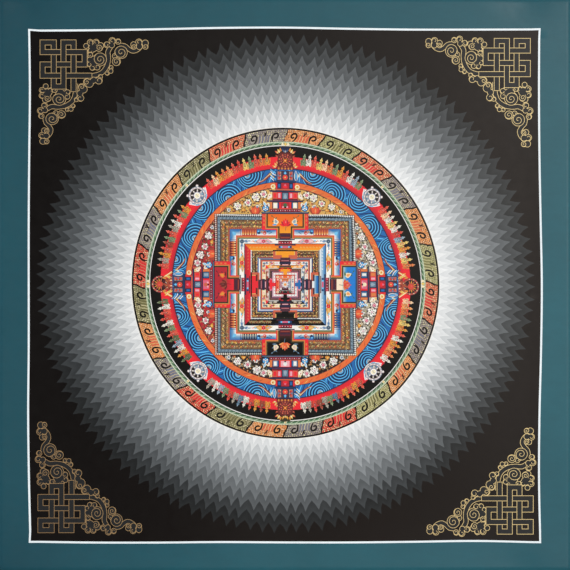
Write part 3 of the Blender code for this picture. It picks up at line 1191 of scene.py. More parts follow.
def heart_lotus(painting):
    """The eight-petalled lotus at the very middle."""
    square_bands(painting, (0.0, 5.3, "orange", "steel", "maroon", "mauve"))
    brush = Brush(painting)
    for turn in (45, 135, 225, 315):
        corner = around(*PALACE, 6.4, turn)
        brush.dot(*corner, 1.1, 8, "white")
        brush.dot(*corner, 0.5, 6, "crimson")
    for i in range(8):
        brush.leaf(*PALACE, 5.0, 2.3, 22.5 + 45 * i, "slate", 4)
        brush.leaf(*PALACE, 4.4, 1.7, 22.5 + 45 * i, "pink" if i % 2 else "mauve", 4)
    for i in range(8):
        brush.leaf(*PALACE, 4.0, 1.8, 45 * i, "chalk", 4)
        brush.leaf(*PALACE, 2.8, 1.0, 45 * i, "azure" if i % 2 else "sky", 4)
    for size, steps, paint in ((1.9, 14, "cream"), (1.3, 12, "deep_orange"), (0.5, 8, "straw")):
        brush.dot(*PALACE, size, steps, paint)


def gate_shape(brush, head, grow, paint):
    """A T that opens inwards; grow widens it on every side but its two ends."""
    neck, stem, shoulder, start = 17.3 + grow, 5.6 + grow, 58.2 - grow, 45.8
    right = np.array([(neck, head), (neck, shoulder), (stem, shoulder), (stem, start)])
    left = right * (-1, 1)
    brush.area(np.vstack([left[:1], right, left[:0:-1]]), paint)


# Of each gate: wash from and to, where the wash starts and ends, leaf, two lotus paints, jewel, its
# heart, the leaf below it.
GATES = (
    ("yellow", "deep_orange", 52, 66, "olive", "scarlet", "crimson", "cream", "steel", "lake"),
    ("warm_cream", "vivid_azure", 56.8, 62.4, "deep_green", "vivid_red", "orange", "cream", "apricot",
     "deep_green"),
    ("sienna", "lamp_black", 50, 58, "slate", "ember", "apricot", "cream", "shell", "slate"),
    ("scarlet", "crimson", 52, 60, "maroon", "oxblood", "brick", "ember", "marigold", "oxblood"),
)


def gates(painting):
    """A gate in the middle of each side, with a lotus, two jewels and vines in it."""
    for quarter, brush in enumerate(palace_sides(painting)):
        first, second, start, end, leaf, lotus, tips, jewel, heart, under = GATES[quarter]
        brush.slab(23.3, 54.6, 71.0, "crimson")
        brush.slab(23.0, 54.8, 71.0, side_wash("scarlet", "vivid_red", 57, 72, quarter))
        for grow, paint in ((3.5, "scarlet"), (2.5, "amber"), (1.4, "dark_olive")):
            gate_shape(brush, 71.0, grow, paint)
        gate_shape(brush, 70.4, 0.0, side_wash(first, second, start, end, quarter))
        brush.line([(0, 58.5), (0, 70.4)], 0.28, second)
        for half in brush.halves():
            for k in range(3):
                half.leaf(21.2, 58.5 + 4.2 * k, 3.0, 1.6, 0, "orange")
            vine = [(8.5, 60.3), (11.4, 62.4), (9.6, 65.6), (12.4, 67.8)]
            half.line(vine, 0.5, leaf, 4)
            for k, spot in enumerate(vine[1:]):
                half.leaf(*spot, 2.4, 1.3, 50 - 90 * (k % 2), leaf)
        brush.line([(0.4, 60.2), (0.8, 57.2), (0.2, 54.0)], 0.5, leaf)
        for k, turn in enumerate((-84, -52, -24, 84, 52, 24, 0)):
            brush.leaf(0.4, 59.4, 6.0 if k < 6 else 7.0, 3.3, turn, tips if k % 2 else lotus)
            brush.leaf(0.4, 60.6, 3.8, 1.3, turn, mixed(lotus, "cream", 0.45 if quarter < 3 else 0.15))
        brush.dot(0.4, 59.8, 1.7, 9, lotus)
        for half in brush.halves():
            half.leaf(8.2, 60.2, 6.6, 5.2, 24, jewel, 7, 0.6)
            half.leaf(8.5, 61.2, 4.4, 2.9, 24, heart)
            half.leaf(8.4, 60.0, 4.8, 1.8, 96, under)


# One roof of the gate tower: from, to (outwards), half width.
Roof = namedtuple("Roof", "start end half")
ROOFS = (
    Roof(70.6, 72.4, 23.5), Roof(82.4, 84.0, 17.9), Roof(91.7, 93.3, 15.2), Roof(100.9, 103.0, 10.6),
)


def beside_tower(brush):
    """White blossoms and a jewel on each side."""
    blossoms = (
        (17.0, 79.4, 2.1), (15.0, 88.0, 2.3), (14.2, 90.6, 1.6), (16.6, 86.2, 1.5), (12.0, 97.0, 2.4),
    )
    for half in brush.halves():
        for u, v, size in blossoms:
            half.dot(u, v, size, 12, "cream")
            half.dot(u, v, size * 0.62, 10, "straw" if v > 90 else "chalk")
            half.dot(u + 0.4, v + 0.3, size * 0.3, 6, "rust")
        half.dot(19.6, 76.2, 3.6, 14, "navy")
        half.dot(19.6, 76.2, 3.1, 14, "azure")
        half.wreath(19.6, 76.2, 1.9, 0.85, 7, ("chalk", "sky"))
        half.dot(19.6, 76.2, 0.8, 7, "white")
        half.leaf(19.6, 78.6, 5.0, 2.6, 25, "chalk")
        half.leaf(19.8, 79.0, 3.4, 1.5, 25, "sky")


def lower_tiers(brush, quarter):
    """The first and the second tier."""
    brush.slab(15.5, 72.4, 82.4, "crimson")
    brush.slab(15.0, 72.8, 75.2, "maroon")
    for i in range(13):
        brush.dot(-13.8 + 2.3 * i, 74.0, 0.62, 6, "rose" if i % 2 else "pink")
    brush.slab(15.3, 75.2, 75.7, "rust")
    brush.panel(13.0, 75.8, 15.2, 82.3, "orange")
    brush.panel(6.2, 75.8, 12.9, 82.3, "navy", 0.7, "azure")
    door = (("cream", "white"), ("slate", "chalk"), ("steel", "white"), ("slate", "steel"))[quarter]
    brush.panel(7.8, 76.2, 12.0, 81.8, door[0], 0.8, door[1])
    brush.slab(5.8, 75.8, 82.3, "scarlet")
    brush.slab(4.4, 76.4, 82.0, ("crimson", "rose", "pink", "rose")[quarter])
    brush.dot(0, 79.4, 2.0, 10, ("deep_green", "cream", "chalk", "rust")[quarter])
    for half in brush.halves():
        half.dot(2.1, 77.4, 1.0, 7, "pink")
    brush.dot(0, 77.0, 0.9, 7, "ink")
    brush.slab(12.9, 84.0, 91.8, "crimson")
    brush.slab(12.5, 84.3, 85.4, "maroon")
    brush.panel(3.6, 85.6, 8.0, 91.4, "scarlet", 0.7, "rose")
    brush.panel(8.0, 85.6, 12.4, 91.4, "rust", 0.8, "scarlet" if quarter != 1 else "orange")
    brush.panel(5.0, 86.4, 6.8, 90.6, "pink")
    brush.slab(3.6, 84.8, 91.6, "navy")
    brush.slab(2.6, 85.2, 91.0, "slate")
    brush.leaf(0, 85.4, 5.2, 3.2, 0, "steel")


def upper_tiers(brush):
    """The third tier, and the fourth one across the blue ring."""
    brush.slab(9.6, 93.3, 101.0, "maroon")
    brush.slab(9.2, 93.6, 94.8, "rust")
    brush.panel(4.0, 95.0, 7.8, 100.8, "navy", 0.8, "deep_blue")
    brush.panel(4.9, 96.4, 6.9, 99.6, "azure")
    brush.panel(7.9, 95.0, 9.3, 100.8, "scarlet")
    brush.slab(3.8, 95.0, 100.8, "crimson")
    brush.leaf(0, 95.3, 4.8, 4.6, 0, "scarlet", 5, 0.5)
    brush.dot(0, 98.6, 1.1, 8, "rose")
    brush.slab(8.6, 103.0, 112.8, "ink")
    brush.slab(8.2, 103.2, 112.6, "plum")
    brush.panel(4.0, 103.6, 7.8, 112.2, "blue_grey", 0.6, "crimson")
    for half in brush.halves():
        for v, paint in ((105.2, "rust"), (108.0, "slate"), (110.8, "rust")):
            half.leaf(5.9, v - 1.2, 2.8, 1.6, 20, paint)
            half.dot(4.6, v, 0.5, 5, "straw")
    brush.dot(0, 106.4, 2.6, 12, "rust")
    brush.wreath(0, 106.4, 1.6, 0.8, 7, ("scarlet",))
    brush.dot(0, 106.4, 0.8, 7, "straw")
    brush.leaf(0, 108.8, 4.6, 4.2, 0, "deep_blue", 5, 0.5)
    brush.leaf(0, 109.3, 3.0, 2.4, 0, "sky", 5, 0.5)


def tower(brush, quarter):
    """The stepped tower over a gate, across the orange and the blue ring, with a spray on each side."""
    beside_tower(brush)
    lower_tiers(brush, quarter)
    upper_tiers(brush)
    spray = np.array([(26.5, 100.4), (22.0, 102.6), (17.8, 106.4), (14.6, 109.4)])
    strokes = ((0, 1.2, 3.8, "oxblood"), (0, 0.6, 2.4, "brick"), (0.6, 0.2, 0.7, "cream"))
    for half in brush.halves():
        for up, start, end, paint in strokes:
            half.line(spray + (0, up), np.linspace(start, end, 13), paint, 4)
        for k in range(3):
            half.dot(14.4 - 1.4 * k, 109.4 - 1.6 * k, 1.25 - 0.15 * k, 8, "cream" if k % 2 else "straw")
    for k in range(6):
        stripe = [(-9.0, 102.6 + 1.9 * k), (-11.4, 103.2 + 2.0 * k), (-14.6, 106.2 + 2.0 * k)]
        brush.line(stripe, 0.75, ("white", "sky", "deep_blue")[k % 3], 3)
    plume = ((11.2, 4.6, "navy"), (10.6, 4.0, "chalk"), (9.4, 2.7, "azure"), (6.6, 1.2, "sky"))
    for length, width, paint in plume:
        brush.leaf(10.9, 102.7 + (10.6 - length) / 2, length, width, -2, paint, 6, 0.8)
    brush.line([(13.8, 102.0), (14.6, 106.4), (13.4, 112.0)], 0.8, "sky", 4)
    for roof in ROOFS:
        brush.slab(roof.half, roof.start, roof.end, "navy")
        tiles = "slate" if roof.half > 20 else "deep_blue"
        brush.slab(roof.half - 0.5, roof.start + 0.9, roof.end - 0.35, tiles)
        for half in brush.halves():
            half.leaf(roof.half - 0.6, roof.end - 0.9, 2.0, 1.2, 40, "navy")


# The steps between one court and the next, outwards: from, to, half width and colour.
STEPS = (
    (45.4, 51.4, 5.5, "maroon"), (46.4, 47.2, 4.6, "brick"), (48.8, 49.6, 4.9, "navy"),
    (44.4, 45.5, 9.6, "navy"), (40.5, 43.9, 6.8, "crimson"), (41.2, 43.2, 3.6, "maroon"),
    (42.9, 43.9, 6.9, "oxblood"), (39.0, 40.3, 10.4, "navy"), (36.4, 38.6, 6.6, "deep_blue"),
    (36.6, 38.4, 3.2, "rose"), (35.0, 36.0, 8.7, "maroon"), (33.4, 34.5, 12.4, "ink"),
    (25.6, 33.2, 12.0, "rust"), (29.2, 33.2, 9.6, "straw"),
)
INNER_STEPS = (
    (24.6, 27.0, 4.9, "plum"), (25.3, 26.0, 3.6, "maroon"), (22.6, 24.7, 5.3, "maroon"),
    (23.4, 24.3, 3.8, "rosewood"), (20.5, 22.7, 5.7, "navy"), (18.9, 20.6, 5.0, "maroon"),
    (19.3, 20.2, 3.0, "pink"), (17.2, 18.6, 5.9, "navy"), (16.0, 16.9, 6.6, "ink"),
)


def steps(painting):
    """The narrow ways in through the inner courts."""
    for quarter, brush in enumerate(palace_sides(painting)):
        for start, end, wide, paint in STEPS:
            brush.slab(wide, start, end, paint)
        side_paint = side_wash("white", "azure", 28, 32, 1) if quarter == 1 else SIDE_PAINTS[quarter]
        flame = ("scarlet", "lotus_pink", "crimson", "rose")[quarter]
        brush.slab(9.0, 29.4, 33.2, side_paint)
        beads(brush, 41.9, 0.55, 2.4, "pink", 5.4)
        for half in brush.halves():
            half.box(2.9, 36.7, 4.6, 38.4, "sky")
            half.box(3.1, 27.6, 12.2, 29.4, ("rust", "plum", "soot", "oxblood")[quarter])
            half.box(9.9, 27.9, 12.2, 33.2, "rust")
        brush.slab(3.4, 25.0, 29.6, side_paint)
        for start, end, wide, paint in INNER_STEPS:
            brush.slab(wide, start, end, paint)
        brush.slab(5.8, 12.9, 15.7, SIDE_PAINTS[quarter])
        brush.slab(1.9, 9.8, 13.2, SIDE_PAINTS[quarter])
        for half in brush.halves():
            for u, v, turn in ((6.4, 14.0, -50), (4.2, 15.6, -80), (5.6, 12.9, -20)):
                half.leaf(u, v, 2.8, 1.5, turn, flame, 4)
        brush.panel(1.9, 11.2, 3.0, 12.9, "mauve")


def round_crown(brush, quarter):
    """What crowns the tower at the top and the foot: rosettes among flames, under a dark cap."""
    right = [(8.6, 113.8), (8.0, 118.0), (7.2, 129.4), (3.6, 131.0)]
    left = [(-u, v) for u, v in right]
    brush.area([left[0], *right, *left[:0:-1]], "oxblood")
    for k in range(5):
        brush.veined(-6.4 + 3.2 * k, 113.9, 3.6, 2.8, 0, "brick", "ochre")
    rings = (
        (6.3, 14, 1.35, "brick", "rust"),
        (4.4, 11, 1.1, "rust", "warm_red"),
        (2.7, 8, 0.85, "brick", "ochre"),
    )
    for radius, count, size, *paints in rings:
        brush.dot(0, 122.8, radius + 0.5, 20, "oxblood")
        for k in range(count):
            spot = around(0, 122.8, radius - 0.4, 360 * k / count)
            brush.dot(*spot, size, 8, "maroon")
            brush.dot(*spot, size * 0.66, 7, paints[k % 2])
    brush.dot(0, 122.8, 1.5, 10, "deep_orange")
    brush.dot(0, 122.8, 0.7, 7, "straw")
    flames = (
        (8.2, 116.6, 4.6, 2.0, 30, "straw", "rust"), (9.4, 116.0, 4.0, 2.0, 60, "ochre", "cream"),
        (7.8, 119.6, 3.6, 2.0, 20, "rust", "straw"), (7.6, 126.0, 3.0, 2.0, 40, "brick", "rust"),
        (5.4, 130.4, 4.4, 2.3, 30, "straw", "cream"), (6.6, 129.8, 4.4, 2.3, 58, "rust", "straw"),
        (4.4, 131.4, 4.4, 2.3, 8, "ochre", "rust"),
    )
    for half in brush.halves():
        for flame in flames:
            half.veined(*flame)
    cap, wing, vein, middle = (
        ("navy", "deep_blue", "blue_grey", "blue_grey"),
        ("dark_olive", "ochre", "straw", "marigold"),
    )[quarter // 2]
    outline = [(-5.4, 136.0), (0.0, 137.0), (5.4, 136.0), (3.0, 132.2), (0.0, 129.6), (-3.0, 132.2)]
    brush.area(outline, cap)
    for half in brush.halves():
        half.veined(1.2, 131.0, 4.2, 1.8, 24, wing, vein)
    brush.veined(0, 130.6, 3.0, 1.6, 0, middle, "cream")


def fan_crown(brush, shift):
    """What crowns the tower at the right and the left: a beaded wheel over a fan of leaves."""
    for size, points, paint in ((8.7, 28, "maroon"), (8.3, 28, "dusk_rose"), (6.7, 24, "soot")):
        brush.dot(shift, 126.0, size, points, paint)
    brush.wreath(shift, 126.0, 7.5, 0.62, 6, ("peach", "vivid_red"), 22)
    for k in range(9):
        brush.leaf(shift, 126.0, 6.6, 1.3, -104 + 26 * k, ("rust", "marigold")[k % 2], 4, 0.9)
    for k in range(7):
        paints = ("maroon", "brick")[k % 2], ("rust", "cream", "ochre")[k % 3]
        brush.veined(shift, 116.4, 8.4, 3.4, -78 + 26 * k, *paints)
    brush.area([(-8.8, 113.8), (9.4, 113.8), (8.0, 117.4), (shift, 119.4), (-7.0, 117.4)], "brick")
    for k in range(6):
        paints = (("rust", "cream"), ("oxblood", "shell_pink"))[k % 2]
        brush.veined(-6.6 + 2.7 * k, 113.9, 3.8, 2.3, 0, *paints)
    brush.dot(shift, 126.2, 3.3, 16, "brick")
    brush.dot(shift, 126.3, 2.7, 14, "vivid_red")
    brush.dot(shift - 0.6, 127.0, 0.9, 7, "warm_red")
    leaves = (
        (6.8, 115.2, 5.4, 2.6, 20, "straw", "ochre"), (8.8, 117.8, 4.6, 2.6, 34, "ochre", "cream"),
        (7.2, 119.6, 4.4, 2.6, -10, "marigold", "rust"), (5.0, 114.4, 4.0, 2.6, 60, "straw", "rust"),
    )
    for half, reach, chosen in zip(brush.halves(), (12.2, 12.8), (leaves, leaves[::2])):
        leg = half.turned_over(curve([(7.6, 121.6), (9.8, 118.2), (reach, 114.0)], 4))
        brush.line(leg, np.linspace(2.6, 1.9, len(leg)), "ochre")
        brush.line(leg + (0.2, 0.3), 0.8, "cream")
        for leaf in chosen:
            half.veined(*leaf)


# ---------------------------------------------------------------- the painting as a mesh
def paint_everything():
    rng = random.Random(SEED)
    painting = Painting()
    margin_and_field(painting)
    zigzag_rays(painting, rng)
    gold_corners(painting)
    painting.by_hand = True
    scroll_ring(painting, rng)
    green_ring(painting, rng)
    wave_ring(painting)
    bud_ring(painting, rng)
    orange_ring(painting, rng)
    garden(painting, rng)
    outer_court(painting, rng)
    inner_court(painting, rng)
    heart_lotus(painting)
    gates(painting)
    for quarter, brush in enumerate(palace_sides(painting)):
        tower(brush, quarter)
        if quarter % 2 == 0:
            round_crown(brush, quarter)
        else:
            fan_crown(brush, (2.2, 0.4)[quarter // 2])
    steps(painting)
    return painting


NEAR = 1e-4  # points of the painting that lie nearer to each other than this are one
SLIVER = 1e-7  # a triangle smaller than this is left out


def flat_map(painting):
    """A triangle net that has every painted edge as an edge, with each triangle's topmost paint."""
    count = int(WIDTH / FORM_STEP)
    steps = np.linspace(-WIDTH / 2, WIDTH / 2, count + 1)[1:-1]
    grid = [(x, z - DROP / 2) for x in steps for z in steps]
    points, loops = [], []
    for outline in painting.outlines:
        loops.append(list(range(len(points), len(points) + len(outline))))
        points.extend(outline)
    points.extend(grid)
    points = [Vector((float(x), float(z))) for x, z in points]
    inside = 1  # the kind of net: triangles of what lies within the outlines
    net = delaunay_2d_cdt(points, [], loops, inside, NEAR, True)
    places = np.array([tuple(v) for v in net[0]])
    return places, np.array(net[2]), np.array([max(found, default=-1) for found in net[5]])


def corner_colours(painting, places, tris, top):
    """Linear colours of every triangle's three corners, and how much gold leaf each triangle has."""
    colours = np.zeros((len(tris), 3, 3))
    gilt = np.zeros(len(tris))
    order = np.argsort(top, kind="stable")
    starts = np.searchsorted(top[order], np.arange(len(painting.paints)))
    ends = np.append(starts[1:], len(order))
    for paint, start, end in zip(painting.paints, starts, ends):
        if start == end:
            continue
        rows = order[start:end]
        if callable(paint):
            corners = places[tris[rows]]
            colours[rows] = paint(corners[..., 0], corners[..., 1])
        else:
            colours[rows] = COLOURS[paint] if isinstance(paint, str) else paint
            gilt[rows] = 1.0 if paint is gold_with_painted_light else 0.0
    return colours, gilt


def paint_film(name, places, tris, colours, gilt, material):
    """A skin of paint that lies on the front of the cloth."""
    used, index = np.unique(tris, return_inverse=True)
    x, z = places[used, 0], places[used, 1]
    points = np.stack([x, -(rise(x, -z) + PAINT_LIFT), z], 1) * MM
    faces = index.reshape(-1, 3)
    mesh = bpy.data.meshes.new(name)
    mesh.vertices.add(len(points))
    mesh.vertices.foreach_set("co", points.ravel())
    mesh.loops.add(faces.size)
    mesh.loops.foreach_set("vertex_index", faces.ravel())
    mesh.polygons.add(len(faces))
    mesh.polygons.foreach_set("loop_start", np.arange(0, faces.size, 3))
    mesh.update(calc_edges=True)
    pigment = mesh.attributes.new("pigment", "FLOAT_COLOR", "CORNER")
    rgba = np.ones((faces.size, 4), np.float32)
    rgba[:, :3] = colours.reshape(-1, 3)
    pigment.data.foreach_set("color", rgba.ravel())
    leaf = mesh.attributes.new("gilt", "FLOAT", "FACE")
    leaf.data.foreach_set("value", gilt.astype(np.float32))
    flat = np.stack([x - x.min(), z - z.min()], 1) / max(np.ptp(x), np.ptp(z))
    layer = mesh.uv_layers.new(name="OFBake")
    layer.data.foreach_set("uv", flat[faces.ravel()].astype(np.float32).ravel())
    mesh.materials.append(material)
    mesh.shade_smooth()
    film = bpy.data.objects.new(name, mesh)
    bpy.context.scene.collection.objects.link(film)
    return film


RIM = 0.3  # how far the paint goes round the cut edge, on to the side of the cloth


def turn_in_rim(film):
    cloth = bmesh.new()
    cloth.from_mesh(film.data)
    rim = []
    for edge in cloth.edges:
        if edge.is_boundary:
            middle = (edge.verts[0].co + edge.verts[1].co) / 2 / MM
            if math.hypot(middle.x - CENTRE[0], middle.z - CENTRE[1]) > 1.2 * OUTLINE:
                rim.append(edge)
    grown = bmesh.ops.extrude_edge_only(cloth, edges=rim)["geom"]
    corners = [v for v in grown if isinstance(v, bmesh.types.BMVert)]
    bmesh.ops.translate(cloth, verts=corners, vec=(0, RIM * MM, 0))
    cloth.to_mesh(film.data)
    cloth.free()


# ---------------------------------------------------------------- the cotton under the paint
CLOTH_CELLS = 72
CLOTH_INSET = 0.9997  # keeps the cotton's sides just inside the paint's


def cotton_canvas(material):
    cloth = bmesh.new()
    bmesh.ops.create_grid(cloth, x_segments=CLOTH_CELLS, y_segments=CLOTH_CELLS, size=0.5)
    for vertex in cloth.verts:
        u, v = vertex.co.x, 0.5 - vertex.co.y
        across = 2 * u * half_width(v * DROP) * CLOTH_INSET
        down = (0.5 + (v - 0.5) * CLOTH_INSET) * full_drop(across)
        vertex.co = Vector((across, -rise(across, down) - GROUND_LIFT, -down)) * MM
    bmesh.ops.recalc_face_normals(cloth, faces=cloth.faces)
    if sum(f.normal.y for f in cloth.faces) > 0:
        bmesh.ops.reverse_faces(cloth, faces=cloth.faces)
    mesh = bpy.data.meshes.new("cotton_canvas")
    cloth.to_mesh(mesh)
    cloth.free()
    mesh.materials.append(material)
    mesh.shade_smooth()
    canvas = bpy.data.objects.new("cotton_canvas", mesh)
    bpy.context.scene.collection.objects.link(canvas)
    thickness = canvas.modifiers.new("thickness", "SOLIDIFY")
    thickness.thickness = (GROUND_LIFT + THICKNESS / 2) * MM
    thickness.offset = -1.0
    bpy.context.view_layer.objects.active = canvas
    canvas.select_set(True)
    bpy.ops.object.modifier_apply(modifier="thickness")
    canvas.select_set(False)
    return canvas


# ---------------------------------------------------------------- materials
SPREAD = {"From Min": 0.3, "From Max": 0.7}  # most of a noise lies between these values
CHANNELS = ("Red", "Green", "Blue")
THREAD = 1.0472  # from one drawn thread of the bare cotton to the next


def add_node(tree, kind, inputs=(), **settings):
    """Each input is given a value, or a link from an output or from a node's first output."""
    node = tree.nodes.new(kind)
    for name, value in settings.items():
        setattr(node, name, value)
    for socket, value in dict(inputs).items():
        if isinstance(value, bpy.types.Node):
            value = next(output for output in value.outputs if output.enabled)
        if isinstance(value, bpy.types.NodeSocket):
            tree.links.new(value, node.inputs[socket])
        else:
            node.inputs[socket].default_value = value
    return node


def opaque(hex_colour):
    return (*linear(hex_colour), 1.0)


def start_material(name, patterns):
    """A material, what adds a node to it, the places on the piece, and its patterns. Each pattern is
    noise: its size in millimetres, detail and roughness, and how it is drawn out, if it is."""
    material = bpy.data.materials.new(name)
    material.use_nodes = True
    material.node_tree.nodes.clear()
    add = partial(add_node, material.node_tree)
    places = add("ShaderNodeTexCoord").outputs["Object"]
    noise = {}
    for pattern, (size, detail, roughness, *drawn_out) in patterns.items():
        look = {"Vector": places, "Scale": 1000 / size, "Detail": detail, "Roughness": roughness}
        if drawn_out:
            look["Vector"] = add("ShaderNodeMapping", {"Vector": places, "Scale": drawn_out})
        noise[pattern] = add("ShaderNodeTexNoise", look)
    return material, add, places, noise


def mineral_paint():
    """Glue-bound mineral colour on chalk-primed cotton, with gold leaf where gilt is 1. It is nearly
    matt and a little uneven from the wash, the brush and the grains, and the weave shows through."""
    material, add, _, noise = start_material("glue_bound_mineral_paint", {
        "wash": (60, 4, 0.55), "strokes": (5, 4, 0.6, 0.35, 1, 1), "grains": (1.6, 2, 0.7),
        "sheen": (9, 3, 0.55), "weave": (0.9, 2, 0.6), "cockles": (14, 3, 0.5),
    })
    pigment = add("ShaderNodeAttribute", attribute_name="pigment").outputs["Color"]
    gilt = add("ShaderNodeAttribute", attribute_name="gilt").outputs["Fac"]
    wash, strokes, grains, sheen = (
        add("ShaderNodeMapRange", {**SPREAD, "Value": noise[name], "To Min": low, "To Max": high})
        for name, low, high in (
            ("wash", 0.955, 1.035), ("strokes", 0.965, 1.03), ("grains", 0.975, 1.022), ("sheen", 0.37, 0.43)
        )
    )
    tone = add("ShaderNodeMath", {0: wash, 1: strokes}, operation="MULTIPLY")
    tone = add("ShaderNodeMath", {0: tone, 1: grains}, operation="MULTIPLY")
    grey = add("ShaderNodeCombineColor", dict.fromkeys(CHANNELS, tone))
    shares = {0: 1.0, 6: pigment, 7: grey}
    colour = add("ShaderNodeMix", shares, data_type="RGBA", blend_type="MULTIPLY")
    smoother = add("ShaderNodeMath", {0: gilt, 1: 0.08}, operation="MULTIPLY")
    roughness = add("ShaderNodeMath", {0: sheen, 1: smoother}, operation="SUBTRACT")
    metal = add("ShaderNodeMath", {0: gilt, 1: 0.15}, operation="MULTIPLY")
    relief = {"Height": noise["weave"], "Distance": 0.035 * MM, "Strength": 0.6}
    weave = add("ShaderNodeBump", relief)
    relief = {"Height": noise["cockles"], "Distance": 0.12 * MM, "Strength": 0.5, "Normal": weave}
    cockles = add("ShaderNodeBump", relief)
    look = {"Base Color": colour, "Roughness": roughness, "Metallic": metal, "Normal": cockles}
    add("ShaderNodeOutputMaterial", {"Surface": add("ShaderNodeBsdfPrincipled", look)})
    return material


def bare_cotton():
    """Plain-woven unbleached cotton: matt cream, with slubs and patches of age. Its threads are
    about twice as coarse as real ones so that they show."""
    material, add, places, noise = start_material("bare_cotton", {
        "slubs": (7, 3, 0.6, 0.15, 1, 1), "weft": (6, 3, 0.6, 1, 1, 0.12),
        "age": (150, 5, 0.65), "cockles": (11, 3, 0.55),
    })
    threads = []
    for turn in (0.0, math.pi / 2):
        way = add("ShaderNodeMapping", {"Vector": places, "Rotation": (0.0, turn, 0.0)})
        # at a scale of 1 the bands of the wave lie tau / 20 apart
        bands = {"Vector": way, "Scale": math.tau / 20 / (THREAD * MM), "Distortion": 0.6, "Detail": 1}
        wave = add("ShaderNodeTexWave", bands, wave_type="BANDS", bands_direction="X")
        threads.append(wave.outputs["Fac"])
    woven = add("ShaderNodeMath", dict(enumerate(threads)), operation="MAXIMUM")
    gaps = {"Value": woven, "From Min": 0.1, "From Max": 0.9, "To Min": 0.16, "To Max": 0.0}
    gaps = add("ShaderNodeMapRange", gaps)
    slubs, weft, age = (
        add("ShaderNodeMapRange", {"Value": noise[name], "From Min": 0.3, "From Max": most})
        for name, most in (("slubs", 0.7), ("weft", 0.7), ("age", 0.72))
    )
    dark_slubs = add("ShaderNodeMath", {0: slubs, 1: 0.22}, operation="MULTIPLY")
    dark_weft = add("ShaderNodeMath", {0: weft, 1: 0.18}, operation="MULTIPLY")
    colour = opaque("#dacfb8")
    for share, other in (
        (age, "#cfc1a2"), (dark_slubs, "#b6a380"), (dark_weft, "#b8a684"), (gaps, "#8f7d5c"),
    ):
        colour = add("ShaderNodeMix", {0: share, 6: colour, 7: opaque(other)}, data_type="RGBA")
    roughness = add("ShaderNodeMapRange", {"Value": slubs, "To Min": 0.86, "To Max": 0.94})
    relief = {"Height": woven, "Distance": 0.12 * MM, "Strength": 0.8}
    weave = add("ShaderNodeBump", relief)
    relief = {"Height": noise["cockles"], "Distance": 0.2 * MM, "Strength": 0.5, "Normal": weave}
    cockles = add("ShaderNodeBump", relief)
    look = {"Base Color": colour, "Roughness": roughness, "Normal": cockles}
    add("ShaderNodeOutputMaterial", {"Surface": add("ShaderNodeBsdfPrincipled", look)})
    return material


def matt_floor():
    """A painted studio floor: matt pale grey, in faint patches."""
    material, add, _, noise = start_material("matt_floor_paint", {"patches": (400, 3, 0.55)})
    tone = {**SPREAD, "Value": noise["patches"], "To Min": 0.97, "To Max": 1.03}
    grey = add("ShaderNodeCombineColor", dict.fromkeys(CHANNELS, add("ShaderNodeMapRange", tone)))
    shares = {0: 1.0, 6: opaque("#cfcdc8"), 7: grey}
    colour = add("ShaderNodeMix", shares, data_type="RGBA", blend_type="MULTIPLY")
    look = {"Base Color": colour, "Roughness": 0.8}
    add("ShaderNodeOutputMaterial", {"Surface": add("ShaderNodeBsdfPrincipled", look)})
    return material


# ---------------------------------------------------------------- the dressed part
FILMS = (  # name, and the radii round the middle between which it lies
    ("field_paint", OUTLINE, math.inf),
    ("scroll_ring_paint", RED_RING[1], OUTLINE),
    ("wave_ring_paint", ORANGE_RING[0], RED_RING[1]),
    ("garden_paint", 66.0, ORANGE_RING[0]),
    ("palace_paint", 0.0, 66.0),
)


def dress():
    painting = paint_everything()
    places, tris, top = flat_map(painting)
    a, b, c = (places[tris[:, i]] for i in range(3))
    area = 0.5 * ((b[:, 0] - a[:, 0]) * (c[:, 1] - a[:, 1]) - (b[:, 1] - a[:, 1]) * (c[:, 0] - a[:, 0]))
    kept = (top >= 0) & (area > SLIVER)
    tris, top = tris[kept], top[kept]
    colours, gilt = corner_colours(painting, places, tris, top)
    middle = places[tris].mean(1) - CENTRE
    radius = np.hypot(middle[:, 0], middle[:, 1])
    paint = mineral_paint()
    films = []
    for name, inner, outer in FILMS:
        rows = (radius >= inner) & (radius < outer)
        films.append(paint_film(name, places, tris[rows], colours[rows], gilt[rows], paint))
    turn_in_rim(films[0])
    canvas = cotton_canvas(bare_cotton())
    for piece in [canvas, *films]:
        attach(piece, "root")
    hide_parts("painted_canvas")


# ---------------------------------------------------------------- room, light and camera
LENS, SENSOR = 200, 36
SEEN = 0.600  # metres of the cloth that the picture shows each way
MIDDLE_HEIGHT = -0.305
FLOOR_HEIGHT = -1.25
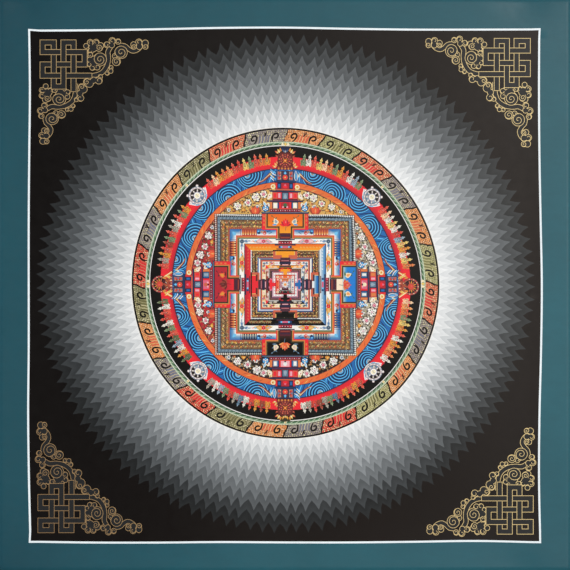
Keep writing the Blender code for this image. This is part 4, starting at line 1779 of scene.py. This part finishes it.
# Name, place, what it points at, width and height, watts and colour.
LIGHTS = (
    ("window", (0.95, -2.6, 0.28), (0.15, 0, -0.33), (0.5, 1.8), 18, (1.0, 0.92, 0.84)),
    ("side", (-2.2, -0.9, 0.3), (0, 0, -0.33), (1.2, 1.2), 7, (0.93, 0.97, 1.0)),
    ("behind", (-0.8, 2.6, 0.9), (0, 0, -0.3), (1.6, 1.6), 30, (1.0, 1.0, 1.0)),
)


def floor():
    bpy.ops.mesh.primitive_plane_add(size=30, location=(0, 0, FLOOR_HEIGHT))
    ground = bpy.context.object
    ground.name = "floor"
    ground.data.materials.append(matt_floor())
    ground.visible_glossy = False


def area_light(name, place, aim, size, power, colour):
    data = bpy.data.lights.new(name, "AREA")
    data.shape = "RECTANGLE"
    data.size, data.size_y = size
    data.energy = power
    data.color = colour
    light = bpy.data.objects.new(name, data)
    light.location = place
    light.rotation_euler = (Vector(aim) - Vector(place)).to_track_quat("-Z", "Y").to_euler()
    light.visible_camera = False
    bpy.context.scene.collection.objects.link(light)


def pale_room():
    """Even light. The camera sees it a little dimmer, and the paint's sheen finds it nearly dark."""
    world = bpy.data.worlds.new("pale_room")
    world.use_nodes = True
    world.node_tree.nodes.clear()
    add = partial(add_node, world.node_tree)
    ray = add("ShaderNodeLightPath")
    shares = []
    for kind, otherwise, then in (("Camera", 0.98, 0.8), ("Glossy", 1.0, 0.02)):
        choice = {"Value": ray.outputs[f"Is {kind} Ray"], "To Min": otherwise, "To Max": then}
        shares.append(add("ShaderNodeMapRange", choice))
    strength = add("ShaderNodeMath", dict(enumerate(shares)), operation="MULTIPLY")
    light = {"Color": (0.985, 0.99, 1.0, 1.0), "Strength": strength}
    add("ShaderNodeOutputWorld", {"Surface": add("ShaderNodeBackground", light)})
    world.cycles.sampling_method = "NONE"
    return world


def light_and_camera():
    scene = bpy.context.scene
    scene.view_settings.view_transform = "Standard"
    scene.world = pale_room()
    for light in LIGHTS:
        area_light(*light)
    data = bpy.data.cameras.new("camera")
    data.lens = LENS
    data.sensor_width = SENSOR
    camera = bpy.data.objects.new("camera", data)
    camera.location = (0.0, -SEEN * LENS / SENSOR, MIDDLE_HEIGHT)
    camera.rotation_euler = (math.pi / 2, 0, 0)
    scene.collection.objects.link(camera)
    scene.camera = camera


dress()
floor()
light_and_camera()
